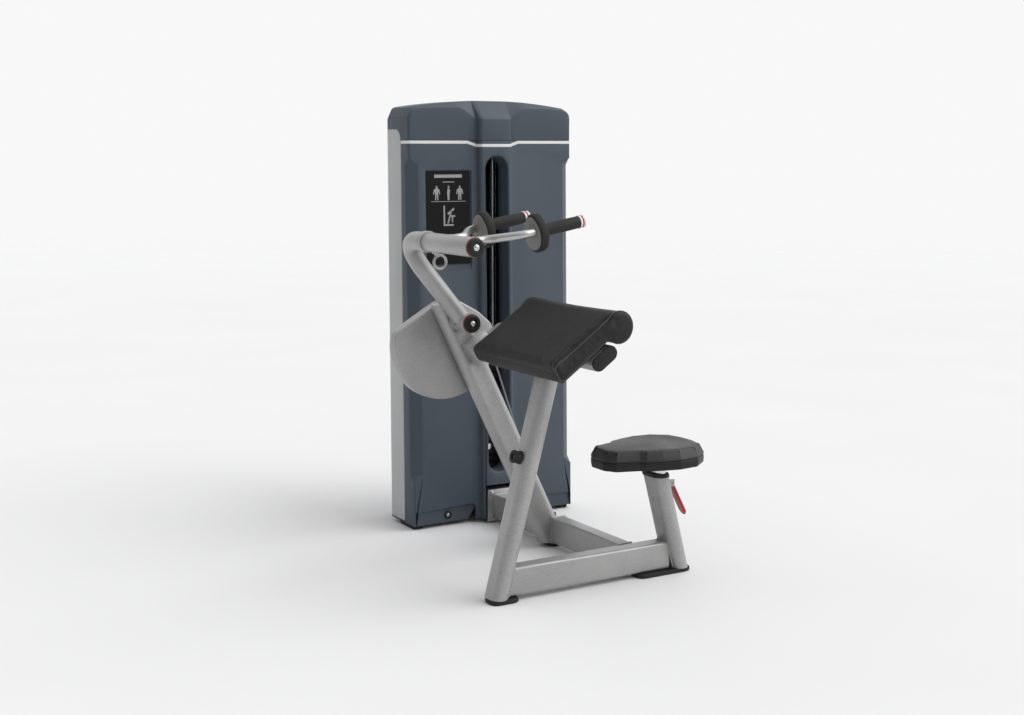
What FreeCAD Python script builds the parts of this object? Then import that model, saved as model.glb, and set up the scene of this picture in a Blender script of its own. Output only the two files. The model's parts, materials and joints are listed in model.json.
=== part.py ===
"""Seated triceps extension machine: a weight stack in a shrouded tower, a slanted frame with an arm pad
and a height-adjustable seat, and a swinging lever whose cam pulls the stack's cable.

Sizes are in millimetres. +X runs to the user's side, +Y to the back of the tower and +Z up. Positions are
counted from the tower's lower left front corner; origin_x and origin_y move that corner so that the model's
own origin is on the floor under the middle of the machine."""
import FreeCAD, Part
import math
import os
import re
import Sketcher
from FreeCAD import Placement, Rotation, Vector

CELLS = {
    # where the model's own origin lies, counted from the tower's lower left front corner
    "origin_x": 188.3, "origin_y": -452.5,
    # tower
    "tower_left": 8, "tower_right": 708, "tower_mid": 358, "tower_depth": 172, "wrap_depth": 60,
    "floor_gap": 15, "cap_low": 1452, "cap_edge": 1555, "brow_high": 1532, "tower_high": 1600,
    "cap_arch": 2125,
    "front_low": -25, "front_high": 0, "skin": 4, "channel_half": 72, "bevel": 15, "bow": 9,
    "channel_rise": 26, "corner_cut": 5, "slot_half": 50, "slot_low": 193, "slot_high": 1397,
    "doorway_half": 59, "doorway_high": 146, "column_wide": 44, "cover_inset": 60, "cover_depth": 93,
    "cover_high": 1480, "base_sheet": 6, "placard_wide": 179, "placard_high": 341, "placard_low": 997,
    "placard_left": 79, "placard_thick": 3, "placard_front": -13.6,
    # weight stack
    "stack_y": 125, "rod_gap": 75, "rod_half": 12.5, "plate_wide": 250, "plate_deep": 150,
    "plate_thick": 25, "plate_pitch": 26.8, "stack_low": 160, "stand_high": 145, "top_plate_thick": 28,
    "stem_half": 11, "stem_hole": 14, "rod_hole": 14, "pin_half": 4, "pin_hole": 4.5, "pin_knob": 12,
    # cable and pulleys
    "cable_half": 3, "cable_gap": 3.4, "cam_reach": 50, "cam_y": -388, "guide_reach": 28,
    "guide_x": 76, "guide_z": 790, "foot_reach": 42, "base_reach": 40, "top_reach": 52.5,
    "cable_z": 65, "cable_back_y": 230, "top_pulley_z": 1388, "flange": 6, "pulley_thick": 20,
    "axle_half": 6, "axle_gap": 0.05,
    # floor frame
    "rail_low": 16, "rail_high": 110, "rail_left": 328, "rail_right": 388, "tube_wall": 3,
    "tube_round": 10, "bracket_front": -68, "bracket_half": 50, "bracket_high": 131, "sheet": 8,
    "post_back": -410, "post_front": -470, "crossbar_back": -886, "crossbar_front": -945,
    "crossbar_left": -131, "crossbar_right": 500, "foot_high": 14, "user_y": -917,
    # slanted posts: foot, lean and section
    "main_foot_x": 358, "main_lean": 25.94, "main_high": 900, "post_wide": 100, "post_deep": 60,
    "pad_foot_x": -165.5, "pad_lean": 15, "pad_post_wide": 90, "pad_post_high": 800,
    "seat_foot_x": 551, "seat_lean": 15,
    "seat_post_high": 338,
    # lever and its pivot
    "pivot_x": -54, "pivot_z": 847, "lever_corner_x": -293, "lever_corner_z": 1135, "lever_y": -522,
    "lever_half": 30, "lever_wall": 4, "lever_bend": 138, "hub_half": 32, "hub_back": -475,
    "hub_front": -570, "shaft_half": 15, "bearing_half": 26, "bearing_gap": 0.05,
    "collar_back": -705, "collar_front": -730, "collar_half": 34, "spindle_half": 25, "sleeve_half": 30,
    "spindle_front": -1013, "sleeve_front": -1018, "sleeve_gap": 0.05, "ring_thick": 5,
    "cap_thick": 10,
    # handles
    "handle_half": 12.5, "handle_z": 1150, "near_root_y": -990, "far_root_y": -845,
    "near_grip_y": -1077, "far_grip_y": -757, "grip_half": 19, "grip_tip_x": 55, "grip_tip_z": 1207,
    "grip_bend_x": -165, "grip_bend_z": 1170, "guard_half": 58, "guard_thick": 32, "guard_shift": 20,
    "guard_drop": 8,
    # pad
    "pad_slope": 35, "pad_x": -73, "pad_z": 727, "pad_thick": 62, "pad_long": 260, "roll_half": 54,
    "roll_rise": 8.4, "pad_front": -1170, "pad_back": -650, "board_thick": 17, "beam_u": 170.5,
    "beam_v": -42.5, "beam_wide": 100, "beam_thick": 50, "beam_back": -475, "beam_front": -1140,
    "link_wide": 95, "link_deep": 54, "link_long": 72,
    # cam guard
    "guard_x": -65, "guard_z": 761, "guard_reach": 193, "guard_front_y": -410, "guard_back_y": -366,
    "guard_wall": 3,
    # seat
    "pan_low": 385, "seam_z": 415, "seat_high": 453, "inner_wide": 46, "inner_deep": 86,
    "inner_low": 115, "collar_high": 350,
    # arm stop and seat lever
    "stop_z": 458, "stop_half": 21.5, "stop_long": 28, "handle_x": 512, "handle_top": 310,
    "blade_lean": 28, "blade_long": 140, "blade_wide": 35, "blade_thick": 6,
}
ALIAS = re.compile(r"\b(" + "|".join(sorted(CELLS, key=len, reverse=True)) + r")\b")
RESTING = 4
LIFTED = 11
X, Y, Z = Vector(1, 0, 0), Vector(0, 1, 0), Vector(0, 0, 1)

doc = FreeCAD.newDocument("triceps_machine")
sheet = doc.addObject("Spreadsheet::Sheet", "dims")
for row, (alias, number) in enumerate(CELLS.items(), start=1):
    sheet.set(f"A{row}", alias)
    sheet.set(f"B{row}", str(number))
    sheet.setAlias(f"B{row}", alias)
doc.recompute()
nodes = []


# ---------------------------------------------------------------- helpers

def formula(text):
    """The text of an expression, with each of the sheet's names made a reference to its cell."""
    return ALIAS.sub(r"dims.\1", str(text))


def value(text):
    return float(sheet.evalExpression(formula(text)))


def bind(obj, prop, text):
    obj.setExpression(prop, formula(text))


def point(x, y, z):
    """A place in the model's own frame, for shapes that are made from points."""
    return Vector(value(f"{x} - origin_x"), value(f"{y} - origin_y"), value(z))


def place(obj, x, y, z, turn=None, angle=None):
    """Put obj's own zero at a place; turn is its fixed rotation, or an axis with an angle from the sheet."""
    if angle is not None:
        obj.Placement = Placement(Vector(), Rotation(turn, value(angle)))
        bind(obj, "Placement.Rotation.Angle", angle)
    elif turn is not None:
        obj.Placement = Placement(Vector(), turn)
    for letter, text in zip("xyz", (f"{x} - origin_x", f"{y} - origin_y", z)):
        bind(obj, f"Placement.Base.{letter}", text)
    return obj


def node(obj, name):
    obj.Label = name
    nodes.append(obj)
    return obj


def block(name, x, y, z):
    """A box from three (low, high) pairs."""
    obj = doc.addObject("Part::Box", name)
    for prop, (low, high) in zip(("Length", "Width", "Height"), (x, y, z)):
        bind(obj, prop, f"({high}) - ({low})")
    return place(obj, x[0], y[0], z[0])


TURNS = {"x": Rotation(Y, 90), "y": Rotation(X, -90), "z": Rotation()}


def cylinder(name, radius, length, at, along="z"):
    """A cylinder from its start point, along a row axis or a given direction."""
    obj = doc.addObject("Part::Cylinder", name)
    bind(obj, "Radius", radius)
    bind(obj, "Height", length)
    turn = TURNS[along] if isinstance(along, str) else Rotation(Z, along)
    return place(obj, *at, turn)


def boolean(kind, name, parts):
    """Part::MultiFuse, Part::MultiCommon or Part::Compound of several objects."""
    obj = doc.addObject(kind, name)
    setattr(obj, "Links" if kind == "Part::Compound" else "Shapes", parts)
    return obj


def fuse(name, *parts):
    return boolean("Part::MultiFuse", name, list(parts))


def common(name, *parts):
    return boolean("Part::MultiCommon", name, list(parts))


def group(name, parts):
    """Several separate solids in one object."""
    return boolean("Part::Compound", name, list(parts))


def cut(name, base, *tools):
    obj = doc.addObject("Part::Cut", name)
    obj.Base = base
    obj.Tool = tools[0] if len(tools) == 1 else fuse(name + "_tools", *tools)
    return obj


def ring(name, outer, inner, length, at, along="z"):
    """A cylinder with a hole right through."""
    return cut(name, cylinder(name + "_outer", outer, length, at, along),
               cylinder(name + "_bore", inner, length, at, along))


def body(name, at=("0", "0", "0"), turn=None, angle=None):
    part = doc.addObject("PartDesign::Body", name)
    return place(part, *at, turn, angle)


def sketch(part, role, tag, lift="0"):
    """A sketch on one of the body's own planes, lifted along the plane's normal."""
    drawing = part.newObject("Sketcher::SketchObject", f"{part.Name}_{tag}")
    plane = [item for item in part.Origin.OriginFeatures if item.Role == role][0]
    drawing.AttachmentSupport = (plane, "")
    drawing.MapMode = "FlatFace"
    bind(drawing, "AttachmentOffset.Base.z", lift)
    return drawing


def hold(drawing, geometry, end, x, y):
    """Tie a point of the drawing to two sizes measured from the drawing's zero."""
    for kind, text in (("DistanceX", x), ("DistanceY", y)):
        made = drawing.addConstraint(Sketcher.Constraint(kind, -1, 1, geometry, end, value(text)))
        bind(drawing, f"Constraints[{made}]", text)


def polygon(drawing, corners):
    """A closed loop of straight edges."""
    first = drawing.GeometryCount
    spots = [Vector(value(x), value(y), 0) for x, y in corners]
    for start, end in zip(spots, spots[1:] + spots[:1]):
        drawing.addGeometry(Part.LineSegment(start, end), False)
    for k, (x, y) in enumerate(corners):
        before = first + (k - 1) % len(corners)
        drawing.addConstraint(Sketcher.Constraint("Coincident", before, 2, first + k, 1))
        hold(drawing, first + k, 1, x, y)


def oval(drawing, x, y, long_side, short_side, upright=False):
    """A flat-oval loop: two straight sides joined by half circles."""
    reach = f"(({long_side}) - ({short_side})) / 2"
    radius = f"({short_side}) / 2"
    cx, cy, off, r = value(x), value(y), value(reach), value(radius)
    along = Vector(0, 1, 0) if upright else Vector(1, 0, 0)
    side = Vector(-along.y, along.x, 0)
    middle = Vector(cx, cy, 0)
    first = drawing.GeometryCount
    base_angle = math.pi / 2 if upright else 0
    for sign, start in ((1, -math.pi / 2), (-1, math.pi / 2)):
        arc = Part.ArcOfCircle(Part.Circle(middle + along * off * sign, Z, r),
                               base_angle + start, base_angle + start + math.pi)
        drawing.addGeometry(arc, False)
    end = along * off
    drawing.addGeometry(Part.LineSegment(middle + end + side * r, middle - end + side * r), False)
    drawing.addGeometry(Part.LineSegment(middle - end - side * r, middle + end - side * r), False)
    right, left, upper, lower = first, first + 1, first + 2, first + 3
    meetings = ((right, 2, upper, 1), (upper, 2, left, 1), (left, 2, lower, 1), (lower, 2, right, 1))
    for a, end_a, b, end_b in meetings:
        drawing.addConstraint(Sketcher.Constraint("Tangent", a, end_a, b, end_b))
    if upright:
        hold(drawing, right, 3, x, f"({y}) + {reach}")
        hold(drawing, left, 3, x, f"({y}) - {reach}")
    else:
        hold(drawing, right, 3, f"({x}) + {reach}", y)
        hold(drawing, left, 3, f"({x}) - {reach}", y)
    made = drawing.addConstraint(Sketcher.Constraint("Radius", right, r))
    bind(drawing, f"Constraints[{made}]", radius)


def round_edges(part, feature, radius, chosen):
    """Round the edges that chosen accepts, given each edge of the feature's shape."""
    doc.recompute()
    names = [f"Edge{k}" for k, edge in enumerate(feature.Shape.Edges, start=1) if chosen(edge)]
    rounded = part.newObject("PartDesign::Fillet", f"{part.Name}_{feature.Name}_round")
    rounded.Base = (feature, names)
    bind(rounded, "Radius", radius)
    part.Tip = rounded
    return rounded


def along_axis(edge, direction):
    """True when a straight edge runs along the direction."""
    if not isinstance(edge.Curve, Part.Line):
        return False
    return abs(edge.tangentAt(edge.FirstParameter).dot(direction)) > 0.999


def pad(part, drawing, length, tag="pad"):
    feature = part.newObject("PartDesign::Pad", f"{part.Name}_{tag}")
    feature.Profile = drawing
    bind(feature, "Length", length)
    part.Tip = feature
    return feature


def pocket(part, drawing, length, tag="pocket"):
    """Cut away from the drawing's plane, against its normal."""
    feature = part.newObject("PartDesign::Pocket", f"{part.Name}_{tag}")
    feature.Profile = drawing
    bind(feature, "Length", length)
    part.Tip = feature
    return feature


def box_tube(name, role, first, second, lift, length):
    """A rounded rectangular tube: first and second are (low, high) pairs in the sketch plane."""
    part = body(name)
    (a, b), (c, d) = first, second
    outer = sketch(part, role, "outside", lift)
    polygon(outer, [(a, c), (b, c), (b, d), (a, d)])
    solid = pad(part, outer, length)
    normal = {"XZ_Plane": Y, "YZ_Plane": X}[role]
    round_edges(part, solid, "tube_round", lambda edge: along_axis(edge, normal))
    inner = sketch(part, role, "inside", f"({lift}) + ({length})")
    w = "tube_wall"
    polygon(inner, [(f"{a} + {w}", f"{c} + {w}"), (f"{b} - {w}", f"{c} + {w}"),
                    (f"{b} - {w}", f"{d} - {w}"), (f"{a} + {w}", f"{d} - {w}")])
    pocket(part, inner, length)
    return part


def leaning_tube(name, foot_x, lean, low, high, x_size, y_size, centre_y, wall=None):
    """A flat-oval post cut level at both ends; lean is its angle from upright, towards +X when positive."""
    part = body(name)
    drawing = sketch(part, "XY_Plane", "section", low)
    centre_x = f"({foot_x}) + tan({lean}) * ({low})"
    wide = f"({x_size}) / cos({lean})"
    tall = value(y_size) > value(x_size)

    def section(shrink):
        sizes = [f"{wide} - {shrink}", f"{y_size} - {shrink}"]
        oval(drawing, centre_x, centre_y, *(sizes[::-1] if tall else sizes), upright=tall)

    section("0")
    if wall:
        section(f"2 * {wall}")
    feature = pad(part, drawing, f"({high}) - ({low})")
    feature.UseCustomVector = True
    feature.AlongSketchNormal = True
    feature.Direction = Vector(math.tan(math.radians(value(lean))), 0, 1)
    bind(feature, "Direction.x", f"tan({lean})")
    return part


def bent_wire(points, radius):
    """Straight runs through the points, joined by tangent arcs of one radius."""
    edges = []
    start = points[0]
    for before, corner, after in zip(points, points[1:], points[2:]):
        back = (before - corner).normalize()
        ahead = (after - corner).normalize()
        half = back.getAngle(ahead) / 2
        reach = radius / math.tan(half)
        enter, leave = corner + back * reach, corner + ahead * reach
        bisector = (back + ahead).normalize()
        middle = corner + bisector * (radius / math.sin(half) - radius)
        edges.append(Part.LineSegment(start, enter).toShape())
        edges.append(Part.Arc(enter, middle, leave).toShape())
        start = leave
    edges.append(Part.LineSegment(start, points[-1]).toShape())
    return Part.Wire(edges)


def swept(wire, radius):
    """A round bar along a wire of straight runs and arcs."""
    start = wire.Edges[0]
    direction = start.tangentAt(start.FirstParameter)
    circle = Part.Wire(Part.makeCircle(radius, start.valueAt(start.FirstParameter), direction))
    return wire.makePipeShell([circle], True, False)


def shaped(name, shape):
    """An object that carries a shape made from points."""
    obj = doc.addObject("Part::Feature", name)
    obj.Shape = shape
    return obj


# ---------------------------------------------------------------- tower

def shroud_loop(front, back, inset):
    """Corners of the shroud's plan, from the left side round the front to the right side."""
    rise = f"{front} + {inset}"
    halves = []
    for edge, side in ((f"tower_left + {inset}", -1), (f"tower_right - {inset}", 1)):
        halves.append([(edge, back), (edge, f"{rise} + corner_cut"), (f"{edge} + {-side} * corner_cut", rise),
                       (f"tower_mid + {side} * (channel_half - {inset} * 0.8)", f"{rise} - bow"),
                       (f"tower_mid + {side} * (channel_half - bevel - {inset} * 0.8)",
                        f"{rise} - bow - channel_rise")])
    return halves[0] + halves[1][::-1]


def front_shroud():
    part = body("front_shroud_body")
    sections = []
    for tag, lift, front in (("low", "floor_gap", "front_low"), ("high", "cap_low", "front_high")):
        drawing = sketch(part, "XY_Plane", tag, lift)
        outside, inside = (shroud_loop(front, "wrap_depth", inset) for inset in ("0", "skin"))
        polygon(drawing, outside + inside[::-1])
        sections.append(drawing)
    loft = part.newObject("PartDesign::AdditiveLoft", "front_shroud_loft")
    loft.Profile = sections[0]
    loft.Sections = [sections[1]]
    loft.Ruled = True
    part.Tip = loft
    slot = sketch(part, "XZ_Plane", "slot", "100")
    oval(slot, "tower_mid", "(slot_low + slot_high) / 2", "slot_high - slot_low", "2 * slot_half",
         upright=True)
    pocket(part, slot, "200", "slot_cut")
    doorway = sketch(part, "XZ_Plane", "doorway", "100")
    left, right = "tower_mid - doorway_half", "tower_mid + doorway_half"
    polygon(doorway, [(left, "0"), (right, "0"), (right, "doorway_high"), (left, "doorway_high")])
    pocket(part, doorway, "200", "doorway_cut")
    node(part, "front_shroud")


def cap_solid(tag, inset, low):
    """The crown's outer form, or the same form moved in by inset."""
    left, right = f"tower_left + {inset}", f"tower_right - {inset}"
    side = body(f"cap_side_{tag}")
    profile = sketch(side, "YZ_Plane", "profile", left)
    polygon(profile, [(f"front_high + {inset}", low), (f"tower_depth - {inset}", low),
                      (f"tower_depth - {inset}", "tower_high"), (f"45 + {inset}", f"tower_high - {inset}"),
                      (f"front_high + {inset}", f"cap_edge - {inset}")])
    pad(side, profile, f"({right}) - ({left})")
    face = body(f"cap_face_{tag}")
    outline = sketch(face, "XZ_Plane", "outline", "50")
    polygon(outline, [(left, low), (right, low), (right, f"cap_edge - 20 - {inset}"),
                      (f"{right} - 40", f"tower_high - {inset}"), (f"{left} + 40", f"tower_high - {inset}"),
                      (left, f"cap_edge - 20 - {inset}")])
    pad(face, outline, "400").Reversed = True
    centre = ("tower_mid", "-50", "tower_high - cap_arch")
    arch = cylinder(f"cap_arch_{tag}", f"cap_arch - {inset}", "400", centre, "y")
    brow = f"front_high - bow - channel_rise + {inset}"
    ridge_side = body(f"cap_ridge_side_{tag}")
    slope = sketch(ridge_side, "YZ_Plane", "slope", "tower_mid - channel_half")
    polygon(slope, [(brow, low), ("60", low), ("60", f"tower_high - {inset}"),
                    (f"30 + {inset}", f"tower_high - {inset}"), (brow, f"brow_high - {inset}")])
    pad(ridge_side, slope, "2 * channel_half")
    ridge_plan = body(f"cap_ridge_plan_{tag}")
    flank = sketch(ridge_plan, "XY_Plane", "plan", low)
    wide, narrow = f"(channel_half - {inset} * 0.8)", f"(channel_half - bevel - {inset} * 0.8)"
    polygon(flank, [(f"tower_mid - {wide}", "60"), (f"tower_mid - {wide}", f"{brow} + channel_rise"),
                    (f"tower_mid - {narrow}", brow), (f"tower_mid + {narrow}", brow),
                    (f"tower_mid + {wide}", f"{brow} + channel_rise"), (f"tower_mid + {wide}", "60")])
    pad(ridge_plan, flank, "200")
    ridge = common(f"cap_ridge_{tag}", ridge_side, ridge_plan)
    return fuse(f"cap_{tag}", common(f"cap_main_{tag}", side, face, arch), ridge)


def tower():
    front_shroud()
    notch = block("cap_notch", ("tower_mid - 28", "tower_mid + 28"),
                  ("tower_depth - skin - 1", "tower_depth + 1"), ("cap_low", "cap_low + 8"))
    hollow = cap_solid("inner", "skin", "cap_low - 10")
    node(cut("top_cap_shell", cap_solid("outer", "0", "cap_low"), hollow, notch), "top_cap")
    level = ("floor_gap + base_sheet", "cap_low")
    columns = []
    for tag, low, high in (("left", "tower_left", "tower_left + column_wide"),
                           ("right", "tower_right - column_wide", "tower_right")):
        outer = block(f"column_{tag}", (low, high), ("wrap_depth", "tower_depth"), level)
        inner = block(f"column_{tag}_inside", (f"{low} + tube_wall", f"{high} - tube_wall"),
                      ("wrap_depth + tube_wall", "tower_depth - tube_wall"), level)
        columns.append(cut(f"column_{tag}_tube", outer, inner))
    node(group("columns", columns), "side_columns")
    cover_back = "tower_depth + cover_depth"
    cover = block("cover_block", ("tower_left + cover_inset", "tower_right - cover_inset"),
                  ("tower_depth", cover_back), ("floor_gap + base_sheet", "cover_high"))
    hollow = block("cover_hollow", ("tower_left + cover_inset + skin", "tower_right - cover_inset - skin"),
                   ("tower_depth", f"{cover_back} - skin"), ("floor_gap + base_sheet", "cover_high - skin"))
    node(cut("cover_shell", cover, hollow), "rear_cover")
    sign = doc.addObject("Part::Box", "placard_plate")
    for prop, text in (("Length", "placard_wide"), ("Width", "placard_thick"), ("Height", "placard_high")):
        bind(sign, prop, text)
    lean = math.degrees(math.atan2(value("front_high - front_low"), value("cap_low - floor_gap")))
    width = value("placard_left + placard_wide - tower_left - corner_cut")
    yaw = math.degrees(math.atan2(value("bow"), width))
    place(sign, "placard_left", "placard_front", "placard_low", Rotation(Z, -yaw) * Rotation(X, -lean))
    node(sign, "exercise_placard")
    tower_base()


def tower_base():
    top = "floor_gap + base_sheet"
    pieces = [
        block("base_plate", ("tower_left", "tower_right"), ("wrap_depth", "tower_depth"), ("floor_gap", top)),
        block("base_tail", ("tower_left + cover_inset", "tower_right - cover_inset"),
              ("tower_depth", "tower_depth + cover_depth"), ("floor_gap", top)),
        block("base_upright", ("tower_mid - doorway_half + 1", "tower_mid + doorway_half - 1"),
              ("wrap_depth", "wrap_depth + base_sheet"), ("floor_gap", "bracket_high + 8")),
    ]
    for tag, side in (("left", -1), ("right", 1)):
        centre = f"tower_mid + {side} * rod_gap"
        pieces.append(block(f"stand_{tag}", (f"{centre} - 25", f"{centre} + 25"),
                            ("stack_y - 25", "stack_y + 25"), (top, "stand_high")))
        cheek = f"tower_mid + {side} * 15.5"
        pieces.append(block(f"base_cheek_{tag}", (f"{cheek} - 2.5", f"{cheek} + 2.5"),
                            ("cable_back_y - base_reach - 25", "cable_back_y - base_reach + 25"),
                            (top, "cable_z + base_reach + 20")))
    holes = [cylinder("base_cable_hole", "12", "40", ("tower_mid", "wrap_depth - 10", "cable_z"), "y"),
             cylinder("base_axle_hole", "axle_half", "60",
                      ("tower_mid - 30", "cable_back_y - base_reach", "cable_z + base_reach"), "x")]
    for tag, side in (("left", -1), ("right", 1)):
        holes.append(cylinder(f"base_rod_hole_{tag}", "rod_half", "stand_high",
                              (f"tower_mid + {side} * rod_gap", "stack_y", top)))
    node(cut("base_drilled", fuse("base_welded", *pieces), *holes), "tower_base")


def stack_plate(tag, low, thick, pin=True):
    """One weight plate with its two rod holes, its stem hole and its pin hole from the front."""
    plate = block(f"plate_{tag}", ("tower_mid - plate_wide / 2", "tower_mid + plate_wide / 2"),
                  ("stack_y - plate_deep / 2", "stack_y + plate_deep / 2"), (low, f"{low} + {thick}"))
    holes = [cylinder(f"plate_{tag}_stem", "stem_hole", thick, ("tower_mid", "stack_y", low))]
    for side in (-1, 1):
        holes.append(cylinder(f"plate_{tag}_rod_{side + 1}", "rod_hole", thick,
                              (f"tower_mid + {side} * rod_gap", "stack_y", low)))
    if pin:
        holes.append(cylinder(f"plate_{tag}_pin", "pin_hole", "plate_deep / 2 + 20",
                              ("tower_mid", "stack_y - plate_deep / 2 - 1", f"{low} + {thick} / 2"), "y"))
    return cut(f"plate_{tag}_drilled", plate, *holes)


def weight_stack():
    plates = [stack_plate(f"{k + 1:02d}", f"stack_low + {k} * plate_pitch", "plate_thick")
              for k in range(RESTING + LIFTED)]
    node(group("plates_resting", plates[:RESTING]), "resting_plates")
    node(group("plates_lifted", plates[RESTING:]), "lifted_plates")
    top_low = f"stack_low + {RESTING + LIFTED} * plate_pitch"
    head = block("head_plate", ("tower_mid - plate_wide / 2", "tower_mid + plate_wide / 2"),
                 ("stack_y - plate_deep / 2", "stack_y + plate_deep / 2"),
                 (top_low, f"{top_low} + top_plate_thick"))
    head_holes = [cylinder("head_stem_hole", "stem_half", "top_plate_thick",
                           ("tower_mid", "stack_y", top_low))]
    for side in (-1, 1):
        head_holes.append(cylinder(f"head_rod_hole_{side + 1}", "rod_hole", "top_plate_thick",
                                   (f"tower_mid + {side} * rod_gap", "stack_y", top_low)))
    node(cut("head_drilled", head, *head_holes), "top_plate")
    stem = cylinder("stem", "stem_half", f"{top_low} + top_plate_thick + 50 - stack_low - 8",
                    ("tower_mid", "stack_y", "stack_low + 8"))
    stem_holes = [cylinder(f"stem_hole_{k:02d}", "pin_hole", "40",
                           ("tower_mid", "stack_y - 20", f"stack_low + {k} * plate_pitch + plate_thick / 2"),
                           "y")
                  for k in range(1, RESTING + LIFTED)]
    node(cut("stem_drilled", stem, *stem_holes), "selector_rod")
    pin_z = f"stack_low + {RESTING} * plate_pitch + plate_thick / 2"
    front = "stack_y - plate_deep / 2"
    bar = cylinder("pin_bar", "pin_half", "plate_deep / 2 + 17", ("tower_mid", f"{front} - 6", pin_z), "y")
    knob = cylinder("pin_knob_grip", "pin_knob", "24", ("tower_mid", f"{front} - 30", pin_z), "y")
    collar = cylinder("pin_collar", "8", "5", ("tower_mid", f"{front} - 6", pin_z), "y")
    node(fuse("pin_turned", bar, knob, collar), "selector_pin")
    rods = [cylinder(f"guide_rod_{side + 1}", "rod_half", "cap_low - floor_gap - base_sheet",
                     (f"tower_mid + {side} * rod_gap", "stack_y", "floor_gap + base_sheet"))
            for side in (-1, 1)]
    node(group("rods", rods), "guide_rods")
    cushions = [ring(f"cushion_{side + 1}", "28", "rod_half", "stack_low - stand_high",
                     (f"tower_mid + {side} * rod_gap", "stack_y", "stand_high")) for side in (-1, 1)]
    node(group("cushions", cushions), "stack_cushions")


def pulley_beam():
    level = ("cap_low", "cap_low + 8")
    pieces = [block("beam_plate", ("tower_left + skin + 2", "tower_right - skin - 2"),
                    ("wrap_depth + 6", "tower_depth - skin - 1"), level),
              block("beam_tongue", ("tower_mid - 28", "tower_mid + 28"),
                    ("tower_depth - skin - 1", "cable_back_y + 14"), level)]
    axle_y = "cable_back_y - top_reach"
    for tag, side in (("left", -1), ("right", 1)):
        cheek = f"tower_mid + {side} * 15.5"
        pieces.append(block(f"beam_cheek_{tag}", (f"{cheek} - 2.5", f"{cheek} + 2.5"),
                            (f"{axle_y} - 22", f"{axle_y} + 22"), ("top_pulley_z - 18", "cap_low")))
    axle_hole = cylinder("beam_axle_hole", "axle_half", "60", ("tower_mid - 30", axle_y, "top_pulley_z"), "x")
    node(cut("beam_drilled", fuse("beam_welded", *pieces), axle_hole), "pulley_beam")


# ---------------------------------------------------------------- cable, pulleys and cam

def cable_geometry():
    """The cable's corners and directions, in the model's own frame."""
    cam = point("pivot_x", "cam_y", "pivot_z")
    guide = point("guide_x", "cam_y", "guide_z")
    across = guide - cam
    span = across.Length
    along = Vector(across).normalize()
    normal = Vector(-along.z, 0, along.x)
    lean = (value("cam_reach") - value("guide_reach")) / span
    touch = along * lean + normal * math.sqrt(1 - lean * lean)
    foot = point("tower_mid", "cam_y", "cable_z")
    down = foot - guide
    sine = value("guide_reach") / down.Length
    straight = Vector(down).normalize()
    side = Vector(-straight.z, 0, straight.x)
    leave = straight * sine + side * math.sqrt(1 - sine * sine)
    leave_point = guide + leave * value("guide_reach")
    descent = (foot - leave_point).normalize()
    return {"cam": cam, "guide": guide, "cam_touch": cam + touch * value("cam_reach"),
            "guide_touch": guide + touch * value("guide_reach"), "touch": touch, "leave": leave,
            "leave_point": leave_point, "foot": foot, "descent": descent}


def arc_edge(centre, start, axis, angle):
    """An arc from start, turned about an axis through the centre."""
    reach = start - centre
    half, whole = (centre + Rotation(axis, part).multVec(reach) for part in (angle / 2, angle))
    return Part.Arc(start, half, whole).toShape(), whole


def drive_cable():
    """From just past the cam, over the guide pulley, round the foot pulley and up to the top pulley."""
    g = cable_geometry()
    run = (g["guide_touch"] - g["cam_touch"]).normalize()
    start = g["cam_touch"] + run * 27
    wrap = math.degrees(g["touch"].getAngle(g["leave"]))
    guide_arc, leave = arc_edge(g["guide"], g["guide_touch"], Y, wrap)
    reach = value("foot_reach")
    foot_in = g["foot"] - g["descent"] * reach
    foot_centre = foot_in + Y * reach
    foot_arc, foot_out = arc_edge(foot_centre, foot_in, g["descent"].cross(Y), 90)
    base_centre = point("tower_mid", "cable_back_y - base_reach", "cable_z + base_reach")
    base_in = base_centre - Z * value("base_reach")
    base_arc, base_out = arc_edge(base_centre, base_in, X, 90)
    top_centre = point("tower_mid", "cable_back_y - top_reach", "top_pulley_z")
    top_in = top_centre + Y * value("top_reach")
    top_arc, top_out = arc_edge(top_centre, top_in, X, 180)
    line = [Part.LineSegment(start, g["guide_touch"]).toShape(), guide_arc,
            Part.LineSegment(leave, foot_in).toShape(), foot_arc,
            Part.LineSegment(foot_out, base_in).toShape(), base_arc,
            Part.LineSegment(base_out, top_in).toShape(), top_arc]
    node(shaped("cable_line", swept(Part.Wire(line), value("cable_half"))), "drive_cable")
    stem_top = f"stack_low + {RESTING + LIFTED} * plate_pitch + top_plate_thick + 50"
    node(cylinder("cable_drop", "cable_half", f"top_pulley_z - ({stem_top})",
                  ("tower_mid", "stack_y", stem_top)), "lift_cable")
    return foot_centre


def grooved_wheel(name, centre, axis, reach, thick):
    """A pulley or cam: a disc with a cable groove, bored for its axle and centred on the cable's plane."""
    root = reach - value("cable_gap")
    rim = reach + value("flange")
    half, groove = thick / 2, value("cable_half") + 1
    bore = value("axle_half + axle_gap")
    profile = [(bore, -half), (rim, -half), (rim, -groove - 1), (root, -groove),
               (root, groove), (rim, groove + 1), (rim, half), (bore, half)]
    loop = Part.makePolygon([Vector(r, 0, h) for r, h in profile + profile[:1]])
    wheel = Part.Face(loop).revolve(Vector(), Z, 360)
    obj = shaped(name + "_wheel", wheel)
    obj.Placement = Placement(centre, Rotation(Z, axis))
    node(obj, name)
    return obj


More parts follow.
